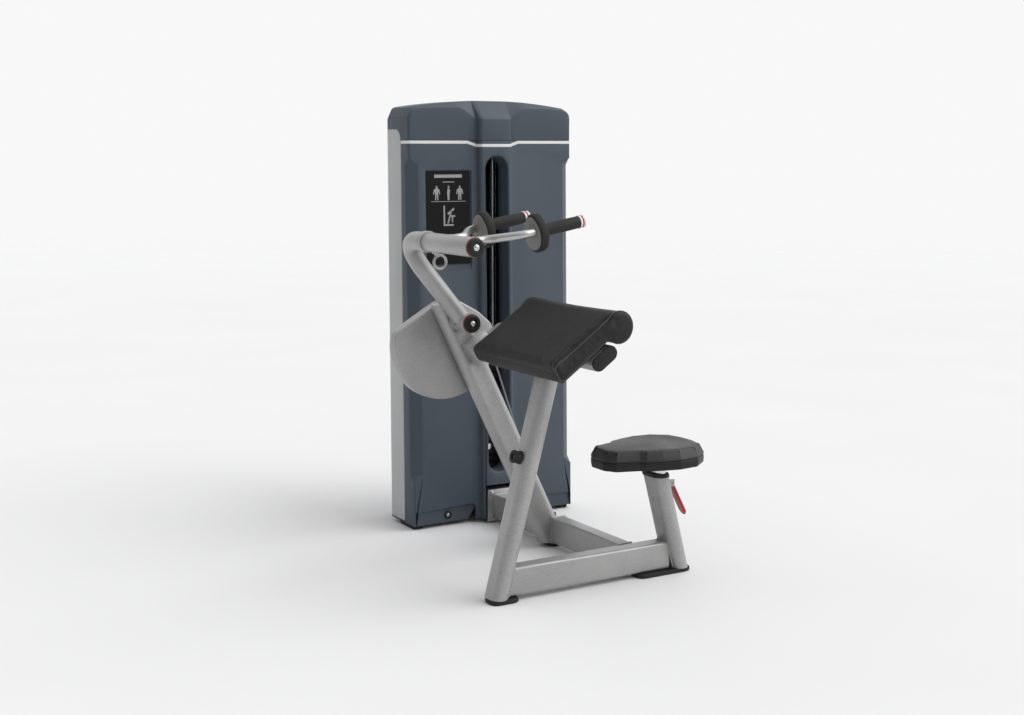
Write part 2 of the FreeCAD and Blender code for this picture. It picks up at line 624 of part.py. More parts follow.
def pulleys(foot_centre):
    """Each pulley with its axle; the axle's two ends are counted from the pulley's centre."""
    g = cable_geometry()
    base = point("tower_mid", "cable_back_y - base_reach", "cable_z + base_reach")
    top = point("tower_mid", "cable_back_y - top_reach", "top_pulley_z")
    guard_walls = (value("guard_front_y + guard_wall - cam_y"), value("guard_back_y - guard_wall - cam_y"))
    wheels = (("guide_pulley", g["guide"], Y, "guide_reach", guard_walls),
              ("foot_pulley", foot_centre, g["descent"].cross(Y), "foot_reach", (-19, 13)),
              ("base_pulley", base, X, "base_reach", (-18, 18)),
              ("top_pulley", top, X, "top_reach", (-18, 18)))
    axles = []
    for name, centre, axis, reach, (low, high) in wheels:
        grooved_wheel(name, centre, axis, value(reach), value("pulley_thick"))
        axles.append(Part.makeCylinder(value("axle_half"), high - low, centre + axis * low, axis))
    node(shaped("axles", Part.makeCompound(axles)), "pulley_axles")


def cam():
    g = cable_geometry()
    reach = value("cam_reach")
    bore, rim, root = value("shaft_half"), reach + value("flange"), reach - value("cable_half") - 0.05
    profile = [(bore, -12), (rim, -12), (rim, -5), (root, -4), (root, 4), (rim, 5), (rim, 12), (bore, 12)]
    loop = Part.makePolygon([Vector(r, 0, h) for r, h in profile + profile[:1]])
    disc = shaped("cam_disc", Part.Face(loop).revolve(Vector(), Z, 360))
    disc.Placement = Placement(g["cam"], Rotation(Z, Y))
    node(disc, "drive_cam")
    anchor = g["cam"] + Rotation(Y, -15).multVec(g["touch"]) * reach
    wrap, _ = arc_edge(g["cam"], anchor, Y, 150)
    node(shaped("cam_wrap", swept(Part.Wire([wrap]), value("cable_half"))), "cam_cable")


def guard_form(tag, front, back, inset):
    """The guard's outline as a slab: a big disc with its top cut along five straight edges."""
    depth = f"({back}) - ({front})"
    disc = cylinder(f"guard_disc_{tag}", f"guard_reach - {inset}", depth, ("guard_x", front, "guard_z"), "y")
    part = body(f"guard_top_{tag}")
    drawing = sketch(part, "XZ_Plane", "top", f"-({front})")
    d = inset
    polygon(drawing, [(f"-300 + {d}", f"782 - {d}"), (f"-90 + {d} * 0.3", f"905 - {d}"), ("-62", f"913 - {d}"),
                      (f"-15 - {d} * 0.2", f"909 - {d}"), (f"24 - {d} * 0.4", f"889 - {d}"),
                      (f"68 - {d} * 0.5", f"864 - {d}"), (f"117 - {d} * 0.8", f"822 - {d} * 0.6"),
                      (f"150 - {d}", "760"), (f"150 - {d}", "500"), (f"-300 + {d}", "500")])
    feature = pad(part, drawing, depth)
    feature.Reversed = True
    return common(f"guard_slab_{tag}", disc, part)


def cam_guard():
    middle = "(guard_front_y + guard_back_y) / 2"
    exit_box = block("guard_exit", ("60", "160"), ("cam_y - 8", "cam_y + 8"), ("560", "790"))
    shaft_hole = cylinder("guard_shaft_hole", "shaft_half + 4", "20",
                          ("pivot_x", "guard_front_y - 5", "pivot_z"), "y")
    hollow = guard_form("front_inside", "guard_front_y + guard_wall", middle, "guard_wall")
    front = cut("guard_front_shell", guard_form("front", "guard_front_y", middle, "0"), hollow, exit_box,
                shaft_hole)
    node(front, "cam_guard_front")
    exit_copy = block("guard_exit_rear", ("60", "160"), ("cam_y - 8", "cam_y + 8"), ("560", "790"))
    rear = cut("guard_rear_shell", guard_form("rear", middle, "guard_back_y", "0"),
               guard_form("rear_inside", middle, "guard_back_y - guard_wall", "guard_wall"), exit_copy)
    node(rear, "cam_guard_rear")


# ---------------------------------------------------------------- floor frame

def floor_frame(foot_centre):
    rail_x, rail_z = ("rail_left", "rail_right"), ("rail_low", "rail_high")
    node(box_tube("base_crossbar_tube", "YZ_Plane", ("crossbar_front", "crossbar_back"), rail_z,
                  "crossbar_left", "crossbar_right - crossbar_left"), "base_crossbar")
    node(box_tube("front_rail_tube", "XZ_Plane", rail_x, rail_z, "-(post_front)",
                  "post_front - crossbar_back"), "front_rail")
    rear = box_tube("rear_rail_tube", "XZ_Plane", rail_x, rail_z, "-(bracket_front)",
                    "bracket_front - post_back")
    foot_slot = sketch(rear, "XY_Plane", "pulley_slot", "rail_high + 5")
    polygon(foot_slot, [("rail_left + tube_wall", "cam_y - 18"), ("rail_right - tube_wall", "cam_y - 18"),
                        ("rail_right - tube_wall", "cam_y + 102"), ("rail_left + tube_wall", "cam_y + 102")])
    pocket(rear, foot_slot, "15", "slot_cut")
    axis = cable_geometry()["descent"].cross(Y)
    bore = shaped("foot_axle_bore", Part.makeCylinder(value("axle_half"), 60, foot_centre - axis * 30, axis))
    node(cut("rear_rail_drilled", rear, bore), "rear_rail")
    box = block("bracket_box", ("tower_mid - bracket_half", "tower_mid + bracket_half"),
                ("bracket_front + sheet", "wrap_depth"), ("floor_gap", "bracket_high"))
    hollow = block("bracket_hollow", ("tower_mid - bracket_half + 5", "tower_mid + bracket_half - 5"),
                   ("bracket_front + sheet", "wrap_depth"), ("floor_gap + 5", "bracket_high - 5"))
    plate = block("bracket_plate", ("tower_mid - 59", "tower_mid + 59"),
                  ("bracket_front", "bracket_front + sheet"), ("floor_gap - 7", "bracket_high"))
    hole = cylinder("bracket_cable_hole", "12", "30", ("tower_mid", "bracket_front - 10", "cable_z"), "y")
    welded = fuse("bracket_welded", cut("bracket_tube", box, hollow), plate)
    node(cut("bracket_drilled", welded, hole), "tower_bracket")
    bolts = [cylinder(f"bolt_{k}", "9", "7", (f"tower_mid + {side} * 44", "bracket_front - 7", level), "y")
             for k, (side, level) in enumerate(((-1, "30"), (1, "30"), (-1, "118"), (1, "118")))]
    node(group("bolts", bolts), "tower_bolts")
    tail_left, tail_right = "tower_left + cover_inset + 4", "tower_right - cover_inset - 4"
    feet = [block(f"foot_{k}", x, y, ("0", high)) for k, (x, y, high) in enumerate((
        (("-196", "-94"), ("user_y - 44", "user_y + 30"), "foot_high"),
        (("370", "588"), ("user_y - 44", "user_y + 30"), "foot_high"),
        (("rail_left", "rail_right"), ("post_front - 4", "post_back + 4"), "rail_low"),
        (("tower_mid - 40", "tower_mid + 40"), ("-40", "40"), "floor_gap"),
        (("tower_left + 2", "tower_left + 46"), ("-14", "116"), "floor_gap"),
        (("tower_right - 46", "tower_right - 2"), ("-14", "116"), "floor_gap"),
        ((tail_left, f"{tail_left} + 44"), ("205", "258"), "floor_gap"),
        ((f"{tail_right} - 44", tail_right), ("205", "258"), "floor_gap")))]
    node(group("feet", feet), "rubber_feet")


def posts():
    middle = "(post_front + post_back) / 2"
    main = leaning_tube("main_post_tube", "main_foot_x", "-main_lean", "rail_low", "main_high", "post_wide",
                        "post_deep", middle, "tube_wall")
    bore = cylinder("main_post_bore", "bearing_half", "100", ("pivot_x", "post_front - 20", "pivot_z"), "y")
    node(cut("main_post_bored", main, bore), "main_post")
    bearings = [ring(f"bearing_{tag}", "bearing_half", "shaft_half + bearing_gap", "18",
                     ("pivot_x", start, "pivot_z"), "y")
                for tag, start in (("front", "post_front - 2"), ("back", "post_back - 18"))]
    node(group("bearings", bearings), "pivot_bearings")
    pad_tube = leaning_tube("pad_post_tube", "pad_foot_x", "pad_lean", "foot_high", "pad_post_high",
                            "post_deep", "pad_post_wide", "user_y", "tube_wall")
    above = pad_block("pad_post_trim", ("-80", "300"), ("beam_v + beam_thick / 2", "250"), ("-1200", "-600"))
    node(cut("pad_post_cut", pad_tube, above), "pad_post")
    seat_tube = leaning_tube("seat_post_tube", "seat_foot_x", "-seat_lean", "foot_high", "seat_post_high",
                             "post_deep", "post_wide", "user_y", "tube_wall")
    ears = [block(f"lever_ear_{k}", ("494", "handle_x + 10"), (low, f"{low} + 4"),
                  ("handle_top - 12", "handle_top + 12"))
            for k, low in enumerate(("user_y - blade_wide / 2 - 5", "user_y + blade_wide / 2 + 1"))]
    inside = leaning_tube("seat_post_clear", "seat_foot_x", "-seat_lean", "foot_high", "seat_post_high",
                          "post_deep - 6", "post_wide - 6", "user_y")
    lever_bore = cylinder("lever_bore", "4", "60", ("handle_x", "user_y - 30", "handle_top"), "y")
    node(cut("seat_post_eared", fuse("seat_post_welded", seat_tube, *ears), inside, lever_bore), "seat_post")
    collar = leaning_tube("seat_collar", "seat_foot_x", "-seat_lean", "seat_post_high", "collar_high",
                          "post_deep + 6", "post_wide + 6", "user_y", "(post_deep + 6 - inner_wide - 0.6) / 2")
    cap = local_oval("beam_cap", "beam_front - 6", "beam_front", "beam_wide - 1", "beam_thick - 1")
    node(group("trims", [collar, cap]), "tube_trims")
    lean = math.radians(value("pad_lean"))
    away = Vector(-math.cos(lean), 0, math.sin(lean))
    face_x = "pad_foot_x + tan(pad_lean) * stop_z - post_deep / 2 / cos(pad_lean)"
    node(cylinder("stop_bumper", "stop_half", "stop_long", (face_x, "user_y", "stop_z"), away), "arm_stop")


# ---------------------------------------------------------------- arm pad

def pad_body(name):
    """A body in the pad's own slope: its X runs up the slope and its Z is square to the pad."""
    return body(name, ("pad_x", "0", "pad_z"), Vector(0, -1, 0), "pad_slope")


def pad_block(name, u, v, y):
    part = pad_body(name)
    drawing = sketch(part, "XZ_Plane", "side", f"-({y[1]})")
    polygon(drawing, [(u[0], v[0]), (u[1], v[0]), (u[1], v[1]), (u[0], v[1])])
    pad(part, drawing, f"({y[1]}) - ({y[0]})")
    return part


def local_oval(name, front, back, wide, thick, wall=None):
    """A flat-oval bar along Y, lying in the pad's slope."""
    part = pad_body(name)
    drawing = sketch(part, "XZ_Plane", "section", f"-({back})")
    oval(drawing, "beam_u", "beam_v", wide, thick)
    if wall:
        oval(drawing, "beam_u", "beam_v", f"{wide} - 2 * {wall}", f"{thick} - 2 * {wall}")
    pad(part, drawing, f"({back}) - ({front})")
    return part


def arm_rest():
    slab = pad_block("pad_slab", ("0", "pad_long"), ("0", "pad_thick"), ("pad_front", "pad_back"))
    round_edges(slab, slab.Tip, "12", lambda edge: edge.CenterOfMass.x < 5 and along_axis(edge, Y))
    roll = pad_body("pad_roll")
    drawing = sketch(roll, "XZ_Plane", "roll", "-(pad_back)")
    centre = Vector(value("pad_long"), value("roll_rise"), 0)
    drawing.addGeometry(Part.Circle(centre, Z, value("roll_half")), False)
    hold(drawing, 0, 3, "pad_long", "roll_rise")
    made = drawing.addConstraint(Sketcher.Constraint("Radius", 0, value("roll_half")))
    bind(drawing, f"Constraints[{made}]", "roll_half")
    pad(roll, drawing, "pad_back - pad_front")
    node(fuse("pad_cushion", slab, roll), "arm_pad")
    node(pad_block("board", ("15", "205"), ("-board_thick", "0"), ("pad_front + 40", "pad_back - 45")),
         "pad_board")
    node(local_oval("beam", "beam_front", "beam_back", "beam_wide", "beam_thick", "tube_wall"),
         "pad_crossbar")
    link = body("link_tube", ("-3", "0", "735"), Vector(0, -1, 0), "pad_slope")
    section = sketch(link, "YZ_Plane", "section", "-14")
    oval(section, "post_front - link_deep / 2", "0", "link_wide", "link_deep", upright=True)
    pad(link, section, "link_long + 14")
    node(link, "pad_link")


# ---------------------------------------------------------------- lever and handles

def lever():
    face, rim = "hub_front", "hub_front - ring_thick"
    node(ring("hub", "hub_half", "shaft_half", "hub_back - hub_front", ("pivot_x", face, "pivot_z"), "y"),
         "arm_hub")
    node(cylinder("shaft", "shaft_half", f"cam_y + 14 - ({face}) - 2", ("pivot_x", f"{face} + 2", "pivot_z"),
                  "y"), "pivot_shaft")
    node(ring("hub_ring", "hub_half + 0.5", "hub_half - 12", "ring_thick", ("pivot_x", rim, "pivot_z"), "y"),
         "pivot_ring")
    node(cylinder("hub_cap", "hub_half - 2", "cap_thick", ("pivot_x", f"{rim} - cap_thick", "pivot_z"), "y"),
         "pivot_cap")
    start = point("pivot_x", "lever_y", "pivot_z")
    corner = point("lever_corner_x", "lever_y", "lever_corner_z")
    start = start + (corner - start).normalize() * 22
    end = point("lever_corner_x", "collar_back", "lever_corner_z")
    line = bent_wire([start, corner, end], value("lever_bend"))
    tube = swept(line, value("lever_half")).cut(swept(line, value("lever_half") - value("lever_wall")))
    clear = Part.makeCylinder(value("hub_half"), 120, point("pivot_x", "hub_front - 10", "pivot_z"), Y)
    node(shaped("lever_tube", tube.cut(clear)), "arm_tube")
    axis = ("lever_corner_x", "collar_front", "lever_corner_z")
    collar = ring("collar_flange", "collar_half", "spindle_half - 4", "collar_back - collar_front", axis, "y")
    spindle = ring("collar_spindle", "spindle_half", "spindle_half - 4", "collar_front - spindle_front",
                   ("lever_corner_x", "spindle_front", "lever_corner_z"), "y")
    node(fuse("collar_turned", collar, spindle), "adjuster_collar")


def handles():
    axis = ("lever_corner_x", "sleeve_front", "lever_corner_z")
    node(ring("sleeve", "sleeve_half", "spindle_half + sleeve_gap", "collar_front - 0.3 - sleeve_front", axis,
              "y"), "handle_sleeve")
    front = "sleeve_front - ring_thick"
    node(cylinder("sleeve_end", "sleeve_half - 2", "cap_thick",
                  ("lever_corner_x", f"{front} - cap_thick", "lever_corner_z"), "y"), "sleeve_cap")
    rise = math.atan2(value("grip_tip_z - grip_bend_z"), value("grip_tip_x - grip_bend_x"))
    along = Vector(math.cos(rise), 0, math.sin(rise))

    def grip_ring(outer, inner, start, length, y_text):
        """A ring round the straight part of a handle; start and length are distances along it."""
        centre = point("grip_bend_x", y_text, "grip_bend_z") + along * start
        shape = Part.makeCylinder(outer, length, centre, along)
        return shape.cut(Part.makeCylinder(inner, length, centre, along)) if inner else shape

    rods, grips, guards, plates, caps, rings = [], [], [], [], [], []
    whole = value("grip_tip_x - grip_bend_x") / math.cos(rise)
    tube, grip_half, thick = value("handle_half"), value("grip_half"), value("guard_thick")
    inner = point("lever_corner_x", "-1100", "lever_corner_z")
    sleeve = Part.makeCylinder(value("sleeve_half") - 1.5, 400, inner, Y)
    sides = (("near_root_y", "near_grip_y", 1, 46), ("far_root_y", "far_grip_y", -1, 26))
    for root, grip, inward, start in sides:
        points = [point("lever_corner_x + 8", root, "handle_z"), point("-232", root, "handle_z + 5"),
                  point("grip_bend_x", grip, "grip_bend_z"),
                  point("grip_tip_x", grip, "grip_tip_z") - along * 14]
        rods.append(swept(bent_wire(points, 45), tube).cut(sleeve))
        grips.append(grip_ring(grip_half, tube, start + thick + 1, whole - start - thick - 21, grip))
        rings.append(grip_ring(grip_half + 1, tube, whole - 20, 6, grip))
        caps.append(grip_ring(grip_half, 0, whole - 14, 14, grip))
        centre = point("grip_bend_x", f"{grip} + {inward} * guard_shift", "grip_bend_z - guard_drop")
        bore = Part.makeCylinder(tube, 200, point("grip_bend_x", grip, "grip_bend_z"), along)
        disc = Part.makeCylinder(value("guard_half"), thick - 6, centre + along * (start + 6), along)
        face = Part.makeCylinder(value("guard_half") - 3, 6, centre + along * start, along)
        guards.append(disc.cut(bore))
        plates.append(face.cut(bore))
    ring_cut = ring("sleeve_ring", "sleeve_half + 0.5", "sleeve_half - 12", "ring_thick",
                    ("lever_corner_x", front, "lever_corner_z"), "y")
    node(shaped("rods_bent", Part.makeCompound(rods)), "handle_rods")
    node(shaped("grips_moulded", Part.makeCompound(grips)), "hand_grips")
    node(shaped("guards_moulded", Part.makeCompound(guards)), "hand_guards")
    node(shaped("plates_cut", Part.makeCompound(plates)), "guard_plates")
    node(shaped("caps_turned", Part.makeCompound(caps)), "grip_caps")
    node(group("rings", [ring_cut, shaped("grip_rings", Part.makeCompound(rings))]), "handle_rings")
    pull = Vector(0.4, 0, -math.sqrt(1 - 0.16))
    root = point("lever_corner_x", "-750", "lever_corner_z") + pull * (value("sleeve_half") + 0.3)
    shank = Part.makeCylinder(8, 18, root, pull)
    loop = Part.makeTorus(22, 3.5, root + pull * 38, Y)
    node(shaped("plunger_loop", shank.fuse(loop)), "adjuster_plunger")


# ---------------------------------------------------------------- seat

def seat_form(name, low, high, corners, radius):
    """A slab with the saddle's plan: corners are (distance along X, half-width) from front to back."""
    part = body(name)
    drawing = sketch(part, "XY_Plane", "plan", low)
    left = [(x, f"user_y - {half}") for x, half in corners]
    right = [(x, f"user_y + {half}") for x, half in corners]
    polygon(drawing, left + right[::-1])
    solid = pad(part, drawing, f"({high}) - ({low})")
    round_edges(part, solid, radius, lambda edge: along_axis(edge, Z))
    return part


def seat():
    node(leaning_tube("seat_inner", "seat_foot_x", "-seat_lean", "inner_low", "pan_low", "inner_wide",
                      "inner_deep", "user_y", "tube_wall"), "seat_inner_post")
    plan = [(222, 34), (246, 74), (322, 98), (338, 114), (392, 134), (452, 148), (528, 140), (588, 94), (604, 34)]
    node(seat_form("pan_shell", "pan_low", "seam_z", plan, "8"), "seat_pan")
    shifts = (10, 8, 4, 4, 3, 2, -3, -7, -10)
    inner = [(x + shift, half - 12) for (x, half), shift in zip(plan, shifts)]
    node(seat_form("seat_foam", "seam_z", "seat_high", inner, "8"), "seat_pad")
    blade = body("lever_blade", ("handle_x", "user_y", "handle_top"), Vector(0, -1, 0), "blade_lean")
    plan_sketch = sketch(blade, "YZ_Plane", "plan", "2")
    half = "blade_wide / 2"
    polygon(plan_sketch, [(f"-{half} + 3", "0"), (f"{half} - 3", "0"), (half, "-20"), (half, "15 - blade_long"),
                          (f"{half} - 12", "-blade_long"), (f"12 - {half}", "-blade_long"),
                          (f"-{half}", "15 - blade_long"), (f"-{half}", "-20")])
    pad(blade, plan_sketch, "blade_thick")
    start = ("handle_x", f"user_y - {half}", "handle_top")
    hub = cylinder("lever_hub", "9", "blade_wide", start, "y")
    bore = cylinder("lever_hub_bore", "4.05", "blade_wide", start, "y")
    node(cut("lever_bored", fuse("lever_welded", blade, hub), bore), "seat_lever")


# ---------------------------------------------------------------- build, check and write

tower()
weight_stack()
pulley_beam()
foot_pulley_centre = drive_cable()
pulleys(foot_pulley_centre)
cam()
cam_guard()
floor_frame(foot_pulley_centre)
posts()
arm_rest()
lever()
handles()
seat()
doc.recompute()
faults = [obj.Name for obj in doc.Objects if "Invalid" in obj.State or "Error" in obj.State]
faults += [obj.Label for obj in nodes if not (obj.Shape.isValid() and obj.Shape.Solids)]
if faults:
    raise SystemExit(f"not built: {faults}")
os.makedirs("parts", exist_ok=True)
whole = FreeCAD.BoundBox()
for obj in nodes:
    obj.Shape.exportStep(f"parts/{obj.Label}.step")
    whole.add(obj.Shape.BoundBox)
print(len(nodes), "nodes; low corner", [round(v, 1) for v in (whole.XMin, whole.YMin, whole.ZMin)],
      "high corner", [round(v, 1) for v in (whole.XMax, whole.YMax, whole.ZMax)])
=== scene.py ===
"""Looks for the seated triceps extension machine: shrouded tower, slanted silver frame, pads and lever.

Places are given in millimetres from the tower's lower left front corner, as +X to the user's side, +Y to the
back of the tower and +Z up; at() turns them into the frame's metres."""
import json
import math

import bmesh
import bpy
from mathutils import Matrix, Vector
from mathutils.bvhtree import BVHTree


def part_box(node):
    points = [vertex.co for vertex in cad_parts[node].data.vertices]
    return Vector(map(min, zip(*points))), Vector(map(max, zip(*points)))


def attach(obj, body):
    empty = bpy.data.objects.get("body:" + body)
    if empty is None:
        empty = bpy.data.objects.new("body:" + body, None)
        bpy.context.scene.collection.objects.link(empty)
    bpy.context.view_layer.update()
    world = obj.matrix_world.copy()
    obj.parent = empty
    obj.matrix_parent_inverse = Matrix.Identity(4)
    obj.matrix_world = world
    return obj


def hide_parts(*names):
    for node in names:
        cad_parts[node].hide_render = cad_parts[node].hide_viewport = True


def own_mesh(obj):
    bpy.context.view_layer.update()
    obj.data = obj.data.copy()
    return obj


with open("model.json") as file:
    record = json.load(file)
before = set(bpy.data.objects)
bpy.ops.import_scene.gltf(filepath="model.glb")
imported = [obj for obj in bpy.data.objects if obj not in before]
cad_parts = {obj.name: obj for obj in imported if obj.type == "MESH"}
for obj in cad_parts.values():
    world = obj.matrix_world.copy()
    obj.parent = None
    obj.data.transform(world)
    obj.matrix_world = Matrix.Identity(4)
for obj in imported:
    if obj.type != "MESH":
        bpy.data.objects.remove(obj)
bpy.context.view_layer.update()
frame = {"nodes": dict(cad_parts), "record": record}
scene = bpy.context.scene
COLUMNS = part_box("side_columns")
CORNER = Vector((COLUMNS[0].x - 0.008, COLUMNS[1].y - 0.172, 0))
BODY_OF = {n: b for b, members in frame["record"]["behaviour"]["bodies"].items() for n in members}
Y, Z = Vector((0, 1, 0)), Vector((0, 0, 1))
MID = 358
FRONT_LOW, FLOOR_GAP, CAP_LOW, CAP_TOP = -25, 15, 1452, 1600
WRAP, DEEP, LEFT, RIGHT = 60, 172, 8, 708
USER_Y = -917
SLOT_HALF, SLOT_LOW, SLOT_HIGH = 50, 193, 1397
PAD_POST, SEAT_POST = (-165.5, 15), (551, -15)
PIVOT = (-54, 847)
ELBOW = (-293, 1135)


def at(x, y, z):
    """A place counted in millimetres from the tower's corner."""
    return CORNER + Vector((x, y, z)) / 1000


# ---------------------------------------------------------------- finishes

class Paint:
    """A node material built from the object's own coordinates."""

    def __init__(self, name, roughness, metallic=0.0, **fixed):
        self.material = bpy.data.materials.new(name)
        self.material.use_nodes = True
        self.tree = self.material.node_tree
        self.shader = self.tree.nodes["Principled BSDF"]
        self.shader.inputs["Roughness"].default_value = roughness
        self.shader.inputs["Metallic"].default_value = metallic
        for socket, number in fixed.items():
            self.shader.inputs[socket.replace("_", " ")].default_value = number
        self.place = self.node("ShaderNodeTexCoord").outputs["Object"]

    def node(self, kind, inputs=None, **props):
        made = self.tree.nodes.new(kind)
        for prop, setting in props.items():
            setattr(made, prop, setting)
        for socket, source in (inputs or {}).items():
            if isinstance(source, bpy.types.NodeSocket):
                self.tree.links.new(source, made.inputs[socket])
            else:
                made.inputs[socket].default_value = source
        return made

    def stretched(self, scale):
        return self.node("ShaderNodeMapping", {"Vector": self.place, "Scale": scale}).outputs[0]

    def noise(self, scale, detail=3.0, source=None):
        sockets = {"Vector": source or self.place, "Scale": scale, "Detail": detail}
        return self.node("ShaderNodeTexNoise", sockets).outputs[0]

    def cells(self, scale, feature="F1"):
        made = self.node("ShaderNodeTexVoronoi", {"Vector": self.place, "Scale": scale}, feature=feature)
        return made.outputs["Distance"]

    def math(self, operation, a, b):
        return self.node("ShaderNodeMath", {0: a, 1: b}, operation=operation).outputs[0]

    def blend(self, a, b, share):
        """a and b added in the shares 1 - share and share."""
        return self.math("ADD", self.math("MULTIPLY", a, 1 - share), self.math("MULTIPLY", b, share))

    def colour(self, driver, *stops):
        ramp = self.node("ShaderNodeValToRGB", {"Fac": driver})
        elements = ramp.color_ramp.elements
        while len(elements) < len(stops):
            elements.new(0.5)
        for element, (position, tone) in zip(elements, stops):
            element.position = position
            element.color = (*tone, 1)
        self.tree.links.new(ramp.outputs[0], self.shader.inputs["Base Color"])

    def roughness(self, driver, low, high):
        made = self.node("ShaderNodeMapRange", {"Value": driver, "From Min": 0.3, "From Max": 0.7,
                                                "To Min": low, "To Max": high})
        self.tree.links.new(made.outputs[0], self.shader.inputs["Roughness"])

    def bump(self, height, depth):
        """Raise the surface by height times depth, in millimetres."""
        made = self.node("ShaderNodeBump", {"Height": height, "Strength": 1.0, "Distance": depth / 1000})
        self.tree.links.new(made.outputs[0], self.shader.inputs["Normal"])


def shade_of(tone, factor):
    return tuple(min(1.0, channel * factor) for channel in tone)


def grain(name, tone, spread, rough, size, depth, metallic=0.0, cloud=5.0, **fixed):
    """Paint or moulded plastic: a fine grain of the given size over slow clouds of the same tone."""
    paint = Paint(name, rough, metallic, **fixed)
    fine = paint.noise(1000 / size, 4.0)
    slow = paint.noise(cloud, 2.0)
    both = paint.blend(fine, slow, 0.35)
    paint.colour(both, (0.36, shade_of(tone, 1 - spread)), (0.64, shade_of(tone, 1 + spread)))
    paint.roughness(fine, rough - 0.05, rough + 0.07)
    paint.bump(fine, depth)
    return paint.material


def flake(name, tone, rough, metallic):
    """Metallic powder coat: bright and dark flakes in a slightly uneven film."""
    paint = Paint(name, rough, metallic, Coat_Weight=0.15, Coat_Roughness=0.3)
    spots = paint.cells(700.0)
    mottle = paint.noise(260.0, 5.0)
    slow = paint.noise(7.0, 2.0)
    both = paint.blend(paint.blend(spots, mottle, 0.6), slow, 0.2)
    paint.colour(both, (0.3, shade_of(tone, 0.72)), (0.48, tone), (0.62, shade_of(tone, 1.2)))
    paint.roughness(mottle, rough - 0.08, rough + 0.08)
    paint.bump(paint.noise(420.0, 3.0), 0.12)
    return paint.material


def leather(name, tone, rough):
    """Synthetic leather: small raised cells with fine creases between them."""
    paint = Paint(name, rough, Specular_IOR_Level=0.28)
    cell = paint.cells(520.0, "DISTANCE_TO_EDGE")
    crease = paint.noise(90.0, 6.0)
    slow = paint.noise(9.0, 2.0)
    paint.colour(paint.blend(crease, slow, 0.5), (0.35, shade_of(tone, 0.75)), (0.65, shade_of(tone, 1.3)))
    paint.roughness(slow, rough - 0.06, rough + 0.08)
    paint.bump(paint.blend(cell, crease, 0.45), 0.35)
    return paint.material


def brushed(name, tone, rough, along, metallic=1.0):
    """Turned or drawn metal with fine lines along one axis."""
    paint = Paint(name, rough, metallic)
    scale = [900.0, 900.0, 900.0]
    scale["xyz".index(along)] = 25.0
    lines = paint.noise(1.0, 3.0, paint.stretched(tuple(scale)))
    slow = paint.noise(12.0, 2.0)
    paint.colour(paint.blend(lines, slow, 0.4), (0.35, shade_of(tone, 0.82)), (0.65, shade_of(tone, 1.1)))
    paint.roughness(lines, rough - 0.05, rough + 0.08)
    paint.bump(lines, 0.03)
    return paint.material


def rope(name, tone):
    """Coated steel cable: strands laid round it show as slanting waves."""
    paint = Paint(name, 0.38, 0.6)
    wave = paint.node("ShaderNodeTexWave", {"Vector": paint.place, "Scale": 160.0, "Distortion": 1.5},
                      bands_direction="DIAGONAL").outputs["Fac"]
    paint.colour(wave, (0.2, shade_of(tone, 0.6)), (0.8, tone))
    paint.bump(wave, 0.4)
    return paint.material


SLATE = (0.062, 0.077, 0.098)
FINISH = {
    "frame_paint": flake("frame_paint", (0.35, 0.35, 0.345), 0.42, 0.45),
    "column_paint": grain("column_paint", (0.44, 0.445, 0.445), 0.08, 0.45, 1.6, 0.1),
    "bare_steel": brushed("bare_steel", (0.5, 0.5, 0.5), 0.36, "z"),
    "chrome": brushed("chrome", (0.74, 0.74, 0.75), 0.2, "x"),
    "shroud_plastic": grain("shroud_plastic", SLATE, 0.1, 0.5, 1.1, 0.14, Specular_IOR_Level=0.3),
    "black_plastic": grain("black_plastic", (0.014, 0.014, 0.014), 0.25, 0.42, 1.0, 0.1,
                           Specular_IOR_Level=0.25),
    "black_rubber": grain("black_rubber", (0.022, 0.022, 0.021), 0.2, 0.62, 1.4, 0.2,
                          Specular_IOR_Level=0.22),
    "guard_plate": grain("guard_plate", (0.15, 0.145, 0.138), 0.12, 0.5, 1.5, 0.12),
    "red_plastic": grain("red_plastic", (0.42, 0.03, 0.03), 0.12, 0.35, 1.2, 0.06),
    "pad_leather": leather("pad_leather", (0.012, 0.012, 0.012), 0.5),
    "board": grain("board", (0.02, 0.019, 0.018), 0.3, 0.6, 2.5, 0.25),
    "black_iron": grain("black_iron", (0.02, 0.02, 0.021), 0.35, 0.5, 2.2, 0.3),
    "inner_steel": grain("inner_steel", (0.035, 0.035, 0.036), 0.2, 0.5, 1.6, 0.12),
    "pulley_plastic": grain("pulley_plastic", (0.03, 0.03, 0.03), 0.2, 0.4, 1.2, 0.08),
    "cable_steel": rope("cable_steel", (0.32, 0.32, 0.33)),
}
WHITE = grain("stripe_white", (0.72, 0.72, 0.72), 0.04, 0.4, 1.5, 0.05)
SEAT_SKIN = leather("seat_skin", (0.028, 0.028, 0.028), 0.42)
# Lighter than the pad's leather: on the end piping this lighter tone is a painted highlight, and on the
# stitches it is the thread's own tone.
PIPING_HIGHLIGHT_AND_THREAD = leather("piping_highlight_and_thread", (0.055, 0.055, 0.055), 0.38)
SIGN_BLACK = grain("sign_black", (0.006, 0.006, 0.006), 0.3, 0.45, 1.0, 0.03, Specular_IOR_Level=0.15)
SIGN_PRINT = grain("sign_print", (0.3, 0.3, 0.3), 0.12, 0.5, 1.0, 0.03)
DULL_RED = grain("dull_red", (0.24, 0.07, 0.07), 0.15, 0.45, 1.0, 0.06)


# ---------------------------------------------------------------- mesh helpers

def new_object(name, points, faces):
    mesh = bpy.data.meshes.new(name)
    mesh.from_pydata([tuple(p) for p in points], [], faces)
    work = bmesh.new()
    work.from_mesh(mesh)
    bmesh.ops.remove_doubles(work, verts=work.verts, dist=2e-6)
    bmesh.ops.recalc_face_normals(work, faces=work.faces)
    work.to_mesh(mesh)
    work.free()
    obj = bpy.data.objects.new(name, mesh)
    scene.collection.objects.link(obj)
    return obj


